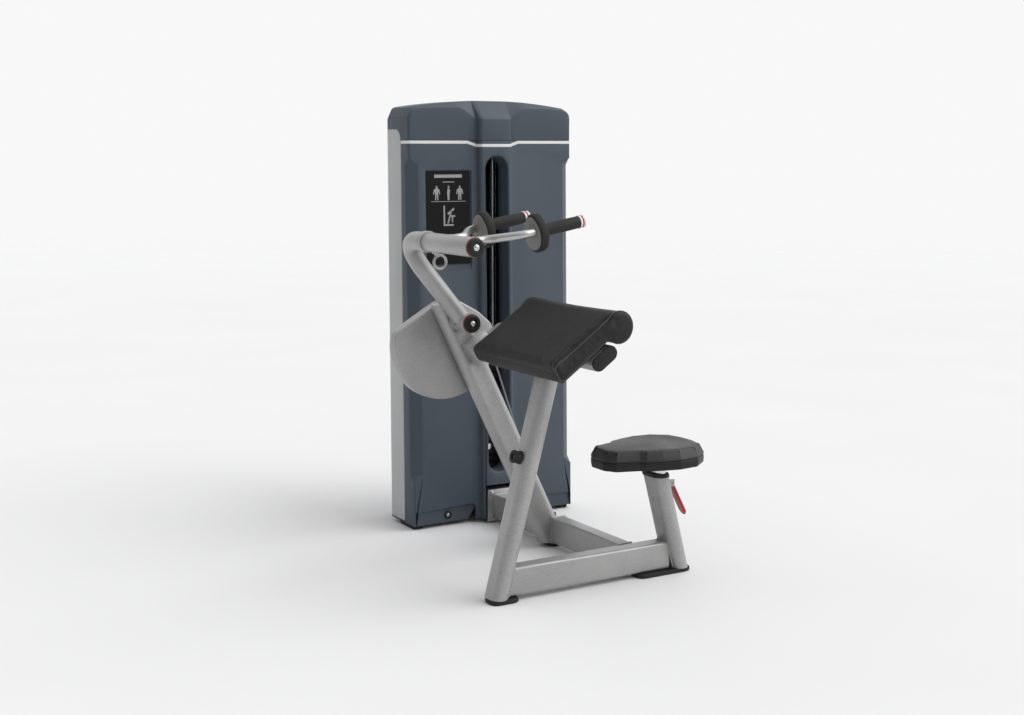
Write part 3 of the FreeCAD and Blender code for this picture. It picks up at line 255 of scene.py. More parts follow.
def show(obj, body, slot, finish=None, smooth=32, replaces=()):
    """Give a finished mesh its material and shading, hang it under its body's empty and hide the CAD nodes
    that it stands for.
    """
    obj.data.materials.clear()
    obj.data.materials.append(finish or FINISH[slot])
    obj.data.shade_smooth()
    obj.data.set_sharp_from_angle(angle=math.radians(smooth))
    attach(obj, body)
    if replaces:
        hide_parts(*replaces)
    return obj


def bake(obj):
    """Make the object's modifiers part of its mesh."""
    graph = bpy.context.evaluated_depsgraph_get()
    done = bpy.data.meshes.new_from_object(obj.evaluated_get(graph))
    obj.modifiers.clear()
    obj.data = done
    return obj


def soften(obj, width, segments=3, angle=30):
    """Round the edges sharper than angle by width, in millimetres."""
    bevel = obj.modifiers.new("soften", "BEVEL")
    bevel.width = width / 1000
    bevel.segments = segments
    bevel.limit_method = "ANGLE"
    bevel.angle_limit = math.radians(angle)
    bevel.use_clamp_overlap = False
    bevel.miter_outer = "MITER_ARC"
    return bake(obj)


def carve(obj, *tools, operation="DIFFERENCE"):
    for tool in tools:
        step = obj.modifiers.new("carve", "BOOLEAN")
        step.operation = operation
        step.solver = "EXACT"
        step.object = tool
    bake(obj)
    for tool in tools:
        bpy.data.objects.remove(tool)
    return obj


def join(name, objects):
    """One object from several separate meshes."""
    points, faces = [], []
    for obj in objects:
        start = len(points)
        points += [obj.matrix_world @ v.co for v in obj.data.vertices]
        faces += [tuple(start + k for k in face.vertices) for face in obj.data.polygons]
        bpy.data.objects.remove(obj)
    return new_object(name, points, faces)


def loft(name, rings, closed=False):
    """A skin over rings of equal length, capped at the ends unless the last ring joins the first."""
    count = len(rings[0])
    points = [p for ring in rings for p in ring]
    faces = []
    for k in range(len(rings) if closed else len(rings) - 1):
        a, b = k * count, (k + 1) % len(rings) * count
        faces += [(a + j, a + (j + 1) % count, b + (j + 1) % count, b + j) for j in range(count)]
    if not closed:
        faces += [tuple(range(count))[::-1], tuple(range(len(points) - count, len(points)))]
    return new_object(name, points, faces)


def prism(name, outline, low, high, plane="xz"):
    """An outline in the tower's millimetres pushed between two values of the third axis."""
    build = {"xz": lambda p, d: at(p[0], d, p[1]), "yz": lambda p, d: at(d, p[0], p[1]),
             "xy": lambda p, d: at(p[0], p[1], d)}[plane]
    return loft(name, [[build(p, depth) for p in outline] for depth in (low, high)])


def ring_points(centre, axis, radius, sides):
    turn = Z.rotation_difference(axis)
    return [centre + turn @ Vector((math.cos(t), math.sin(t), 0)) * radius / 1000
            for t in (2 * math.pi * k / sides for k in range(sides))]


def lathe(name, profile, centre, axis, sides=48, closed=False):
    """A turned form: profile holds (radius, distance along the axis) pairs in millimetres."""
    rings = [ring_points(centre + axis * h / 1000, axis, r, sides) for r, h in profile]
    return loft(name, rings, closed)


def rounded(corners, radius, steps=5, loop=True):
    """A path of 2-D or 3-D points with each corner turned into a small arc."""
    spots = [Vector(c) for c in corners]
    made = []
    last = len(spots) - 1
    for k, spot in enumerate(spots):
        if not loop and k in (0, last):
            made.append(spot)
            continue
        before, after = spots[k - 1] - spot, spots[(k + 1) % len(spots)] - spot
        size = radius[k] if isinstance(radius, (list, tuple)) else radius
        half = before.angle(after) / 2
        reach = min(size / math.tan(half), before.length * 0.49, after.length * 0.49)
        enter, leave = spot + before.normalized() * reach, spot + after.normalized() * reach
        for j in range(steps + 1):
            t = j / steps
            made.append(enter * (1 - t) ** 2 + spot * (2 * t * (1 - t)) + leave * t ** 2)
    return made


def bar(name, path, radius, sides=14, loop=False, ripple=0.0):
    """A round bar along 3-D points; ripple varies its radius from ring to ring, as on a weld."""
    count = len(path)
    rings = []
    side = None
    for k, spot in enumerate(path):
        ahead = path[(k + 1) % count] if loop or k < count - 1 else spot
        behind = path[k - 1] if loop or k > 0 else spot
        tangent = (ahead - behind).normalized()
        if side is None:
            side = tangent.orthogonal().normalized()
        side = (side - tangent * side.dot(tangent)).normalized()
        other = tangent.cross(side)
        size = radius * (1 + ripple * math.sin(k * 1.9)) / 1000
        rings.append([spot + (side * math.cos(t) + other * math.sin(t)) * size
                      for t in (2 * math.pi * j / sides for j in range(sides))])
    if loop:
        first, last = rings[0], rings[-1]

        def gap(turn):
            """How far the two end rings lie apart when one is turned by that many points."""
            return sum((last[j] - first[(j + turn) % sides]).length for j in range(sides))

        shift = min(range(sides), key=gap)
        points = [p for ring in rings for p in ring]
        faces = []
        for k in range(count):
            turn = shift if k == count - 1 else 0
            a, b = k * sides, (k + 1) % count * sides
            faces += [(a + j, a + (j + 1) % sides, b + (j + 1 + turn) % sides, b + (j + turn) % sides)
                      for j in range(sides)]
        return new_object(name, points, faces)
    return loft(name, rings)


def spaced(path, step, loop=True):
    """The same path with points every step millimetres."""
    spots = [Vector(p) for p in path] + ([Vector(path[0])] if loop else [])
    lengths = [0.0]
    for a, b in zip(spots, spots[1:]):
        lengths.append(lengths[-1] + (b - a).length)
    count = max(3, round(lengths[-1] / step))
    made, k = [], 0
    for j in range(count if loop else count + 1):
        want = lengths[-1] * j / count
        while k < len(spots) - 2 and lengths[k + 1] < want:
            k += 1
        span = lengths[k + 1] - lengths[k]
        made.append(spots[k].lerp(spots[k + 1], (want - lengths[k]) / span if span else 0))
    return made


def rectangle(x0, z0, x1, z1):
    return [(x0, z0), (x1, z0), (x1, z1), (x0, z1)]


def copy_of(node, name):
    """A welded copy of a CAD node's mesh with its flat faces whole again."""
    mesh = frame["nodes"][node].data
    work = bmesh.new()
    work.from_mesh(mesh)
    bmesh.ops.remove_doubles(work, verts=work.verts, dist=1e-5)
    bmesh.ops.dissolve_limit(work, angle_limit=math.radians(0.8), verts=work.verts, edges=work.edges)
    points = [v.co.copy() for v in work.verts]
    faces = [tuple(v.index for v in face.verts) for face in work.faces]
    work.free()
    return new_object(name, points, faces)


def refine(node, slot, width, segments=2, angle=38, finish=None):
    """Stand in for a CAD node with a copy whose edges are softened."""
    obj = soften(copy_of(node, node + "_detailed"), width, segments, angle)
    return show(obj, BODY_OF[node], slot, finish, replaces=(node,))


def bolt(name, centre, axis, radius, body, slot="bare_steel", dome=0.55):
    """A domed socket bolt on a thin washer."""
    profile = [(radius * 1.35, 0), (radius * 1.35, 1.0), (radius * 1.05, 1.4), (radius, 1.6)]
    steps = 6
    for k in range(steps + 1):
        angle = k / steps * math.pi / 2
        reach = radius * math.cos(angle)
        if reach > radius * 0.45:
            profile.append((reach, 1.6 + radius * dome * math.sin(angle)))
    top = profile[-1][1]
    profile += [(radius * 0.42, top), (radius * 0.38, top - radius * 0.35)]
    return show(lathe(name, profile, centre, axis, 28), body, slot)


# ---------------------------------------------------------------- tower

def front(z):
    """How far forward the shroud's face stands at a height."""
    return FRONT_LOW * (CAP_LOW - z) / (CAP_LOW - FLOOR_GAP)


def plan(z, inset, back=WRAP):
    """The shroud's plan at a height, from its left side round the front to its right side."""
    face = front(z) + inset
    half = [(LEFT + inset, back), (LEFT + inset, face + 5), (LEFT + 5 + inset, face), (MID - 110, face - 7.8)]
    for off, rise in ((72, 9), (71, 18), (67, 28), (60, 34), (50, 35)):
        half.append((MID - off + 0.8 * inset, face - rise))
    half.append((MID - 25, face - 37))
    return half + [(2 * MID - x, y) for x, y in half[::-1]]


def oval_points(cx, half, low, high, steps=20):
    """A flat oval with its long side upright."""
    top = [(cx + half * math.cos(t), high - half + half * math.sin(t))
           for t in (math.pi * k / steps for k in range(steps + 1))]
    bottom = [(cx + half * math.cos(t), low + half + half * math.sin(t))
              for t in (math.pi * (1 + k / steps) for k in range(steps + 1))]
    return top + bottom


def build_shroud():
    shell = 14
    rings = []
    for z in (FLOOR_GAP, CAP_LOW):
        loop = plan(z, 0) + plan(z, shell)[::-1]
        rings.append([at(x, y, z) for x, y in loop])
    shroud = loft("front_shroud_moulded", rings)
    tools = [prism("slot_tool", oval_points(MID, SLOT_HALF + 1.5, SLOT_LOW - 1.5, SLOT_HIGH + 1.5), -90, 55),
             prism("door_tool", rectangle(299, 0, 417, 146), -90, 55)]
    recess = []
    for x, bow in ((75, -1.8), (263, -8.2)):
        recess.append([at(x, y + bow, z) for y, z in ((front(1343) - 40, 1343), (front(1343) + 7, 1343),
                                                      (front(990) + 7, 990), (front(964) - 1, 964),
                                                      (front(964) - 40, 964))])
    tools.append(loft("recess_tool", recess))
    for side in (-1, 1):
        kick = [(15, 5), (268, 5), (268, 62), (262, 73), (250, 78), (15, 66)]
        outline = [(x if side < 0 else 2 * MID - x, z) for x, z in kick]
        tools.append(prism("kick_tool", outline if side < 0 else outline[::-1], -90, front(40) + 6))
        scoop = []
        for z, shift in ((186, 24), (212, 0), (1360, 0), (1386, 24)):
            corners = ((LEFT - 2 - shift, front(z) + 32), (LEFT + 37, front(z) - 2 - shift),
                       (LEFT + 20, front(z) - 80), (LEFT - 90, front(z) - 80), (LEFT - 90, front(z) + 32))
            scoop.append([at(x if side < 0 else 2 * MID - x, y, z) for x, y in corners])
        tools.append(loft("scoop_tool", scoop))
    carve(shroud, *tools)
    soften(shroud, 2.2, 3, 18)
    show(shroud, "frame", "shroud_plastic", smooth=40, replaces=("front_shroud",))
    sleeve = []
    for grow, depth in ((2.4, -36), (-0.5, -35), (-2.0, -32), (-2.6, -27), (-2.6, -4), (-4.5, -2), (-4.5, 34),
                        (1.2, 34), (1.4, -23)):
        outline = oval_points(MID, SLOT_HALF + grow, SLOT_LOW - grow, SLOT_HIGH + grow, 28)
        sleeve.append([at(x, front(z) + depth, z) for x, z in outline])
    show(loft("slot_sleeve", sleeve, closed=True), "frame", "shroud_plastic", smooth=50)
    build_stripe()
    for side in (-1, 1):
        spot = at(MID + side * 207, front(44) + 3.5, 44)
        profile = [(15, -2.2), (15, 1.2), (13.4, 2.4), (10, 2.4), (9, 1), (9, -0.8)]
        socket = lathe(f"kick_socket_{side + 1}", profile, spot, -Y, 32)
        show(socket, "frame", "black_plastic")
        bolt(f"kick_bolt_{side + 1}", spot + Y * 0.0015, -Y, 5.5, "frame")


def build_stripe():
    """The bright band under the crown, with its dip across the channel."""
    height, dip, low = 11, 12, 1440.5
    drops = [0] * 4 + [dip] * 12 + [0] * 4
    outer = plan(low, -0.7)
    inner = plan(low, 2.5)
    rings = []
    for (ox, oy), (ix, iy), drop in zip(outer, inner, drops):
        base = low - drop
        rings.append([at(ox, oy, base), at(ox, oy, base + height),
                      at(ix, iy, base + height), at(ix, iy, base)])
    show(soften(loft("crown_stripe", rings), 0.4, 2, 40), "frame", "shroud_plastic", WHITE)


def build_crown():
    """The cap: an arched top, a sloping front edge and a tongue that stands out with the raised channel."""
    def ease(t):
        t = max(0.0, min(1.0, t))
        return t * t * (3 - 2 * t)

    outline = plan(CAP_LOW, 0)[1:-1]
    left = {8.0, 11, 16, 24, 36, 48, 70, 110, 150, 190, 215, 233, 258, 271, 279, 317, 345}
    stations = sorted({x for x, _ in outline} | left | {2 * MID - x for x in left} | {MID})
    arch_radius, brow = 2125, 1532
    rings = []
    for x in stations:
        face = outline[0][1]
        for (xa, ya), (xb, yb) in zip(outline, outline[1:]):
            if xa <= x <= xb and xb > xa:
                face = ya + (yb - ya) * (x - xa) / (xb - xa)
        off = abs(x - MID)
        arch = CAP_TOP - arch_radius + math.sqrt(arch_radius ** 2 - off ** 2)
        end = min(x - LEFT, RIGHT - x)
        top = min(arch, 1537 + 62 * math.sin(min(1.0, end / 44) * math.pi / 2))
        edge = 1573 - 18 * max(0.0, (off - 135) / 215) ** 5
        tongue = 1 - ease((off - 60) / 86)
        edge = edge * (1 - tongue) + brow * tongue
        edge = min(edge, top - 1)
        ridge = 21 * (1 - tongue) + 30 * tongue
        line = [(face, CAP_LOW + 0.2), (face, edge), (ridge, top), (DEEP - 8, top), (DEEP, top - 8),
                (DEEP, CAP_LOW + 0.2)]
        rings.append([at(x, y, z) for y, z in line])
    crown = soften(loft("top_crown", rings), 2.5, 3, 16)
    show(crown, "frame", "shroud_plastic", smooth=34, replaces=("top_cap",))


def build_columns():
    halves = []
    for side in (-1, 1):
        outer = LEFT - 0.5 if side < 0 else RIGHT + 0.5
        inner = LEFT + 44 if side < 0 else RIGHT - 44
        profile = [(WRAP + 3, 21), (DEEP, 21), (DEEP, 1494), (WRAP + 44, 1494)]
        profile += [(WRAP + 3 + 41 * (1 - math.sin(t)), 1453 + 41 * math.cos(t))
                    for t in (math.pi / 2 * k / 8 for k in range(1, 9))]
        half = prism(f"column_{side}", profile, *sorted((outer, inner)), plane="yz")
        halves.append(soften(half, 3.0, 3, 30))
    columns = join("side_columns_coated", halves)
    show(columns, "frame", "column_paint", smooth=40, replaces=("side_columns",))


def build_cover():
    """The back cover: a shell with softened corners, two vent fields, a panel line and its screws."""
    low, high, back = 21.2, 1480, 265
    loop = rounded(rectangle(68, DEEP + 0.2, 648, back), [1, 1, 26, 26])
    hollow = rounded(rectangle(74, DEEP - 5, 642, back - 6), [1, 1, 20, 20])
    cover = prism("rear_cover_moulded", [tuple(p) for p in loop], low, high, "xy")
    grooves = []
    for base in (150, 1290):
        for k in range(9):
            z = base + k * 14
            slot = rounded(rectangle(248, z, 468, z + 6), 2.9, 4)
            grooves.append(prism("vent_tool", [tuple(p) for p in slot], back - 3, back + 20))
    for z in (330, 1210):
        grooves.append(prism("groove_tool", rectangle(back - 2.5, z, back + 5, z + 3), 50, 670, "yz"))
    hollow_tool = prism("hollow_tool", [tuple(p) for p in hollow], low - 5, high - 6, "xy")
    carve(cover, hollow_tool, join("grooves_tool", grooves))
    show(soften(cover, 1.2, 2, 40), "frame", "shroud_plastic", smooth=40, replaces=("rear_cover",))
    for k, (x, z) in enumerate((x, z) for x in (96, 620) for z in (70, 290, 770, 1250, 1440)):
        bolt(f"cover_screw_{k}", at(x, back, z), Y, 4.5, "frame", "black_plastic")


def figure(x, z, tall, turned=False):
    """A plain standing figure as a few outlines: head, body and legs."""
    unit = tall / 8
    parts = [[(x + 0.55 * unit * math.cos(t), z + 7.3 * unit + 0.7 * unit * math.sin(t))
              for t in (2 * math.pi * k / 14 for k in range(14))]]
    if turned:
        parts.append([(x - 0.6 * unit, z), (x + 0.5 * unit, z), (x + 0.55 * unit, z + 3 * unit),
                      (x + 0.9 * unit, z + 5.5 * unit), (x + 0.3 * unit, z + 6.4 * unit),
                      (x - 0.7 * unit, z + 6.2 * unit), (x - 0.9 * unit, z + 4 * unit)])
    else:
        half = [(0.15, 3.1), (0.35, 0), (1.0, 0), (1.0, 2.2), (0.95, 3.8), (1.15, 4.9),
                (1.75, 3.2), (2.2, 3.3), (1.75, 5.7), (1.2, 6.3), (0.3, 6.6)]
        parts.append([(x + a * unit, z + b * unit) for a, b in half]
                     + [(x - a * unit, z + b * unit) for a, b in half[::-1]])
    return parts


def build_placard():
    """The instruction sign in its recess: a dark plate with plain printed figures and rules."""
    low, high = 997, 1340
    lean = FRONT_LOW / (CAP_LOW - FLOOR_GAP)

    def face(x, z, lift):
        return at(x, lean * (CAP_LOW - z) - 1.8 - 6.4 * (x - 75) / 188 + 7 - lift, z)

    def raised(name, outlines, lift, thick, finish):
        made = []
        for outline in outlines:
            rings = [[face(x, z, depth) for x, z in outline] for depth in (lift, lift + thick)]
            made.append(loft(name, rings))
        return show(join(name, made), "frame", "black_plastic", finish)

    plate = [tuple(p) for p in rounded(rectangle(79, low, 258, high), 5)]
    sign = raised("exercise_sign", [plate], 0.2, 3.0, SIGN_BLACK)
    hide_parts("exercise_placard")
    prints = [rectangle(112, 1316, 226, 1328), rectangle(146, 1299, 194, 1302),
              rectangle(98, 1228, 240, 1230)]
    for x, turned in ((121, False), (170, True), (216, False)):
        prints += figure(x, 1234, 53, turned)
    prints += [rectangle(148, 1139, 154, 1214), rectangle(155, 1139, 190, 1145),
               [(163, 1148), (169, 1148), (184, 1196), (178, 1196)],
               [(167, 1179), (193, 1199), (190, 1206), (164, 1186)],
               rectangle(182, 1152, 187, 1172), rectangle(175, 1172, 196, 1178)]
    raised("exercise_print", prints, 3.2, 0.4, SIGN_PRINT)


# ---------------------------------------------------------------- cam guard

def guard_outline(inset, count=144):
    """The guard's outline seen from the front: a large disc cut by straight edges along its top."""
    centre = Vector((-65, 761))
    cuts = [(-300, 782), (-90, 905), (-62, 913), (-15, 909), (24, 889), (68, 864), (117, 822), (150, 760),
            (150, 500)]
    spots = []
    for k in range(count):
        angle = 2 * math.pi * k / count
        ray = Vector((math.cos(angle), math.sin(angle)))
        reach = 193.0
        for a, b in zip(cuts, cuts[1:]):
            start, run = Vector(a) - centre, Vector(b) - Vector(a)
            cross = ray.x * run.y - ray.y * run.x
            if abs(cross) > 1e-9:
                hit = (start.x * run.y - start.y * run.x) / cross
                if hit > 0:
                    reach = min(reach, hit)
        spots.append(centre + ray * reach)
    smooth = [(spots[k - 1] + spots[k] * 2 + spots[(k + 1) % count]) / 4 for k in range(count)]
    made = []
    for k in range(count):
        run = (smooth[(k + 1) % count] - smooth[k - 1]).normalized()
        made.append(smooth[k] - Vector((run.y, -run.x)) * inset)
    return made


def build_guards():
    back = -366
    shells = {
        "cam_guard_front": [(6, -410), (3.2, -409.2), (1, -407), (0, -404), (0, -388.8)],
        "cam_guard_rear": [(4, back), (1.4, -367), (0, -369), (0, -387.2)],
    }
    for node, profile in shells.items():
        thick = 3.0
        inside = [(inset + thick, max(-406.8, min(back - 3, y))) for inset, y in reversed(profile)]
        skin = profile + inside
        rings = [[at(p.x, y, p.y) for p in guard_outline(inset)] for inset, y in skin]
        shell = loft(node + "_shell", rings, closed=False)
        tools = [prism("exit_tool", rectangle(60, 540, 200, 790), -397, -379)]
        if node == "cam_guard_front":
            tools.append(lathe("shaft_tool", [(19, -20), (19, 25)], at(PIVOT[0], -400, PIVOT[1]), Y))
        carve(shell, *tools)
        show(shell, "frame", "frame_paint", smooth=38, replaces=(node,))
    for k, (x, z) in enumerate(((-205, 770), (-150, 640), (-30, 596), (70, 690))):
        bolt(f"guard_screw_{k}", at(x, back, z), Y, 5, "frame")


# ---------------------------------------------------------------- frame

def post_side(foot_x, lean, z, y, sign, half_x=30, half_y=50):
    """Where a leaning oval post's flank stands at a height, towards +X or -X."""
    slope = math.tan(math.radians(lean))
    across = max(0.0, abs(y) - (half_y - half_x)) / half_x
    reach = sign * half_x / math.cos(math.radians(lean)) * math.sqrt(max(0.0, 1 - across ** 2))
    return foot_x + slope * z + reach


def weld(name, corners, loop=True, radius=2.6):
    path = [Vector(p) / 1000 + CORNER for p in spaced(rounded(corners, 5, 3, loop), 2.6, loop)]
    show(bar(name, path, radius, 8, loop, 0.16), "frame", "frame_paint", smooth=180)


def build_frame():
    for node, width in (("base_crossbar", 1.0), ("front_rail", 1.0), ("rear_rail", 1.0), ("main_post", 1.5),
                        ("pad_post", 1.2), ("seat_post", 1.0), ("pad_link", 4.0), ("pad_crossbar", 1.2)):
        refine(node, "frame_paint", width)
    refine("tower_bracket", "bare_steel", 1.2)
    refine("tube_trims", "black_plastic", 1.5)
    low, high = 16, 110
    for tag, y in (("front_rail_user", -883.5), ("front_rail_post", -472.5), ("rear_rail_post", -407.5),
                   ("rear_rail_bracket", -70.5)):
        weld(f"weld_{tag}", [(328, y, low), (388, y, low), (388, y, high), (328, y, high)])
    for tag, foot, lean, sign, half in (("pad_post", *PAD_POST, 1, 45), ("seat_post", *SEAT_POST, -1, 50)):
        corners = [(post_side(foot, lean, z, y - USER_Y, sign, 30, half) + sign * 0.8, y, z)
                   for y, z in ((-945, low), (-886, low), (-886, high), (-945, high))]
        weld(f"weld_{tag}", corners)
    slope = math.radians(35)
    oval = [(math.cos(t), math.sin(t)) for t in (2 * math.pi * k / 28 for k in range(28))]
    base = [(-3 + (-14 + 1.5) * math.cos(slope) - c * 47 * math.sin(slope), -470 - 27 + s * 27,
             735 + (-14 + 1.5) * math.sin(slope) + c * 47 * math.cos(slope)) for c, s in oval]
    show(bar("link_seam", [at(*p) for p in base], 2.4, 8, True, 0.1), "frame", "frame_paint", smooth=180)
    build_feet()
    build_seat_fittings()
    for k, (x, z) in enumerate(((-44, 30), (44, 30), (-44, 118), (44, 118))):
        spot = at(MID + x, -68, z)
        washer = lathe(f"tower_washer_{k}", [(11, 0), (11, 1.6), (10.4, 2)], spot, -Y, 32)
        show(washer, "frame", "bare_steel")
        head = soften(lathe(f"tower_bolt_{k}", [(8, 1.8), (8, 7), (6.6, 8)], spot, -Y, 6), 0.5, 2, 30)
        show(head, "frame", "bare_steel", replaces=("tower_bolts",))


def build_feet():
    """Rubber feet: softened pads under the posts, the middle of the frame and the tower's corners."""
    spots = (((-196, -94), (-961, -887), 14.2, 30), ((370, 588), (-961, -887), 14.2, 30),
             ((330, 386), (-472, -408), 16.2, 12), ((MID - 40, MID + 40), (-40, 40), 15.2, 10),
             ((12, 54), (-6, 116), 15.2, 14), ((662, 704), (-6, 116), 15.2, 14),
             ((74, 114), (205, 256), 15.2, 14), ((602, 642), (205, 256), 15.2, 14))
    made = []
    for k, ((x0, x1), (y0, y1), high, corner) in enumerate(spots):
        loop = rounded(rectangle(x0, y0, x1, y1), corner)
        centre = Vector(((x0 + x1) / 2, (y0 + y1) / 2))
        rings = []
        for z, pull in ((0, 4.0), (1.2, 1.6), (3.5, 0), (high - 2, 0), (high, 1.2)):
            rings.append([at(*(p - (p - centre).normalized() * pull), z) for p in loop])
        made.append(loft(f"foot_{k}", rings))
    show(join("rubber_feet_moulded", made), "frame", "black_rubber", replaces=("rubber_feet",))


def build_seat_fittings():
    """Screws on the seat post, and the rubber stop on the pad post with its screw."""
    lean = math.radians(15)
    ahead, up = math.cos(lean), math.sin(lean)
    for k, z in enumerate((262, 250)):
        y = USER_Y - 12 + 20 * k
        spot = at(post_side(*SEAT_POST, z, y - USER_Y, -1) - 0.2, y, z)
        bolt(f"seat_post_screw_{k}", spot, Vector((-ahead, 0, -up)), 5, "frame")
    spot = at(post_side(*SEAT_POST, 190, 0, 1) - 0.2, USER_Y - 20, 190)
    bolt("seat_post_stop", spot, Vector((ahead, 0, up)), 5, "frame")
    stop_high = 458
    face = at(post_side(*PAD_POST, stop_high, 0, -1), USER_Y, stop_high)
    away = Vector((-ahead, 0, up))
    profile = [(21.5, 0.2), (21.5, 4), (19.5, 6), (19.5, 20), (21.5, 24), (20.5, 27), (17, 28.4), (9, 28.4),
               (8, 25), (8, 20)]
    show(lathe("arm_stop_moulded", profile, face, away), "frame", "black_rubber", replaces=("arm_stop",))
    bolt("arm_stop_screw", face + away * 0.020, away, 5, "frame")


# ---------------------------------------------------------------- arm pad

SLOPE = math.radians(35)
ROLL_U, ROLL_V, ROLL_RADIUS = 260, 8.4, 54
CLOTH_FRAMES = 20


def pad_point(u, v, y):
    """A place in the pad's own slope: u up the slope, v square to it."""
    ahead, up = math.cos(SLOPE), math.sin(SLOPE)
    return at(-73 + u * ahead - v * up, y, 727 + u * up + v * ahead)


def pad_section():
    """The cushion's section: a flat slab that ends in a round roll at its upper edge."""
    centre, radius = (ROLL_U, ROLL_V), ROLL_RADIUS
    start, end = -math.acos(-math.sqrt(radius ** 2 - ROLL_V ** 2) / radius), math.pi / 2
    arc = [(centre[0] + radius * math.cos(t), centre[1] + radius * math.sin(t))
           for t in (start + (end - start) * k / 36 for k in range(37))]
    corners = rounded([(0, 0), (130, 0), (130, 62), (0, 62)], [10, 1, 1, 18], 6)
    lower = [p for p in corners if p.x < 100 and p.y < 31]
    upper = [p for p in corners if p.x < 100 and p.y >= 31]
    lower.sort(key=lambda p: p.x - p.y)
    upper.sort(key=lambda p: -p.x - p.y)
    return spaced(lower + [Vector(p) for p in arc] + upper, 6.0)


def inset_loop(loop, amount):
    """A closed outline moved inwards."""
    made = []
    for k, spot in enumerate(loop):
        run = (loop[(k + 1) % len(loop)] - loop[k - 1]).normalized()
        made.append(spot - Vector((run.y, -run.x)) * amount)
    return made


def even_out(obj, voxel):
    """Give the form a mesh of even cells, in millimetres."""
    remesh = obj.modifiers.new("even", "REMESH")
    remesh.mode = "VOXEL"
    remesh.voxel_size = voxel / 1000
    return bake(obj)


def inflate(obj, pressure, cap, pinned, voxel):
    """Let the closed form swell as stitched cloth does; pinned tells which points keep their place."""
    even_out(obj, voxel)
    rest = [v.co.copy() for v in obj.data.vertices]
    hold = obj.vertex_groups.new(name="hold")
    fixed = [k for k, co in enumerate(rest) if pinned(co)]
    hold.add(fixed, 1.0, "REPLACE")
    cloth = obj.modifiers.new("cloth", "CLOTH")
    settings = cloth.settings
    settings.use_pressure = True
    settings.uniform_pressure_force = pressure
    settings.vertex_group_mass = "hold"
    settings.quality = 5
    settings.tension_stiffness = 40
    settings.compression_stiffness = 40
    settings.bending_stiffness = 6
    settings.effector_weights.gravity = 0
    cloth.collision_settings.use_collision = False
    cloth.point_cache.frame_start = 1
    cloth.point_cache.frame_end = CLOTH_FRAMES
    for step in range(1, CLOTH_FRAMES + 1):
        scene.frame_set(step)
    graph = bpy.context.evaluated_depsgraph_get()
    moved = [v.co.copy() for v in obj.evaluated_get(graph).data.vertices]
    obj.modifiers.clear()
    for vertex, start, end in zip(obj.data.vertices, rest, moved):
        shift = end - start
        if shift.length > cap / 1000:
            shift = shift.normalized() * cap / 1000
        vertex.co = start + shift
    scene.frame_set(1)
    return obj


def build_arm_pad():
    first, last = -1170, -650
    section = pad_section()
    shrink = 3.0
    rings = []
    steps = [(0, 11), (0.8, 7.2), (2.4, 4), (5.5, 1.2), (10, 0)]
    length = last - first
    stations = [(d, i) for d, i in steps]
    stations += [(10 + (length - 20) * k / 40, 0) for k in range(1, 40)]
    stations += [(length - d, i) for d, i in steps[::-1]]
    for distance, pull in stations:
        y = first + shrink + distance * (length - 2 * shrink) / length
        rings.append([pad_point(p.x, p.y, y) for p in inset_loop(section, pull + shrink)])
    pad = loft("arm_pad_upholstered", rings)
    origin, normal = pad_point(0, 0, 0), Vector((-math.sin(SLOPE), 0, math.cos(SLOPE)))
    slope_axis = Vector((math.cos(SLOPE), 0, math.sin(SLOPE)))

    def rests(co):
        height = (co - origin).dot(normal) * 1000
        return height < 6 and (co - origin).dot(slope_axis) * 1000 < 208

    inflate(pad, 4.0, 5.0, rests, 5.0)
    relax = pad.modifiers.new("relax", "SMOOTH")
    relax.iterations = 4
    relax.factor = 0.5
    divide = pad.modifiers.new("divide", "SUBSURF")
    divide.levels = divide.render_levels = 1
    bake(pad)
    tree = BVHTree.FromObject(pad, bpy.context.evaluated_depsgraph_get())
    seams = (first + 40, last - 40)
    normals = [v.normal.copy() for v in pad.data.vertices]
    for vertex, outward in zip(pad.data.vertices, normals):
        y = (vertex.co.y - CORNER.y) * 1000
        depth = sum(math.exp(-((y - seam) / 3.0) ** 2) for seam in seams)
        edge = sum(math.exp(-((y - rim) / 3.6) ** 2) for rim in (first + 13, last - 13))
        height = (vertex.co - origin).dot(normal) * 1000
        if height > 4 or (vertex.co - origin).dot(slope_axis) > 0.215:
            vertex.co -= outward * (depth * 1.7 + edge * 1.2) / 1000
    show(pad, "frame", "pad_leather", smooth=180, replaces=("arm_pad",))
    for tag, y in (("near", first + 13), ("far", last - 13)):
        path = []
        for p in inset_loop(section, -6):
            spot = pad_point(p.x, p.y, y)
            inward = pad_point(*inset_target(p), y) - spot
            hit = tree.ray_cast(spot, inward.normalized())
            path.append(hit[0] + hit[1] * 0.0002)
        smooth = [(path[k - 1] + path[k] * 2 + path[(k + 1) % len(path)]) / 4 for k in range(len(path))]
        # The piping's lighter tone is a painted highlight along the pad's ends.
        show(bar(f"pad_piping_{tag}", smooth, 2.5, 10, True), "frame", "pad_leather", PIPING_HIGHLIGHT_AND_THREAD, smooth=180)
    stitches = []
    for k, (seam, side) in enumerate((s, d) for s in seams for d in (-1, 1)):
        y = seam + side * 5
        for j in range(0, 44):
            u = 14 + j * 6.4
            v_high = 66 if u < 262 else ROLL_V + math.sqrt(max(0, 58 ** 2 - (u - ROLL_U) ** 2))
            hits = [tree.ray_cast(pad_point(u + d, v_high + 8, y), -normal)[:2] for d in (0, 3.6)]
            if all(h[0] for h in hits):
                ends = [h[0] - h[1] * 0.0009 for h in hits]
                middle = (ends[0] + ends[1]) / 2 + hits[0][1] * 0.0008
                stitches.append(bar("stitch", [ends[0], middle, ends[1]], 0.45, 5))
    show(join("pad_stitches", stitches), "frame", "pad_leather", PIPING_HIGHLIGHT_AND_THREAD, smooth=180)
    board = copy_of("pad_board", "pad_board_edged")
    show(soften(board, 2.5, 3, 40), "frame", "board", replaces=("pad_board",))


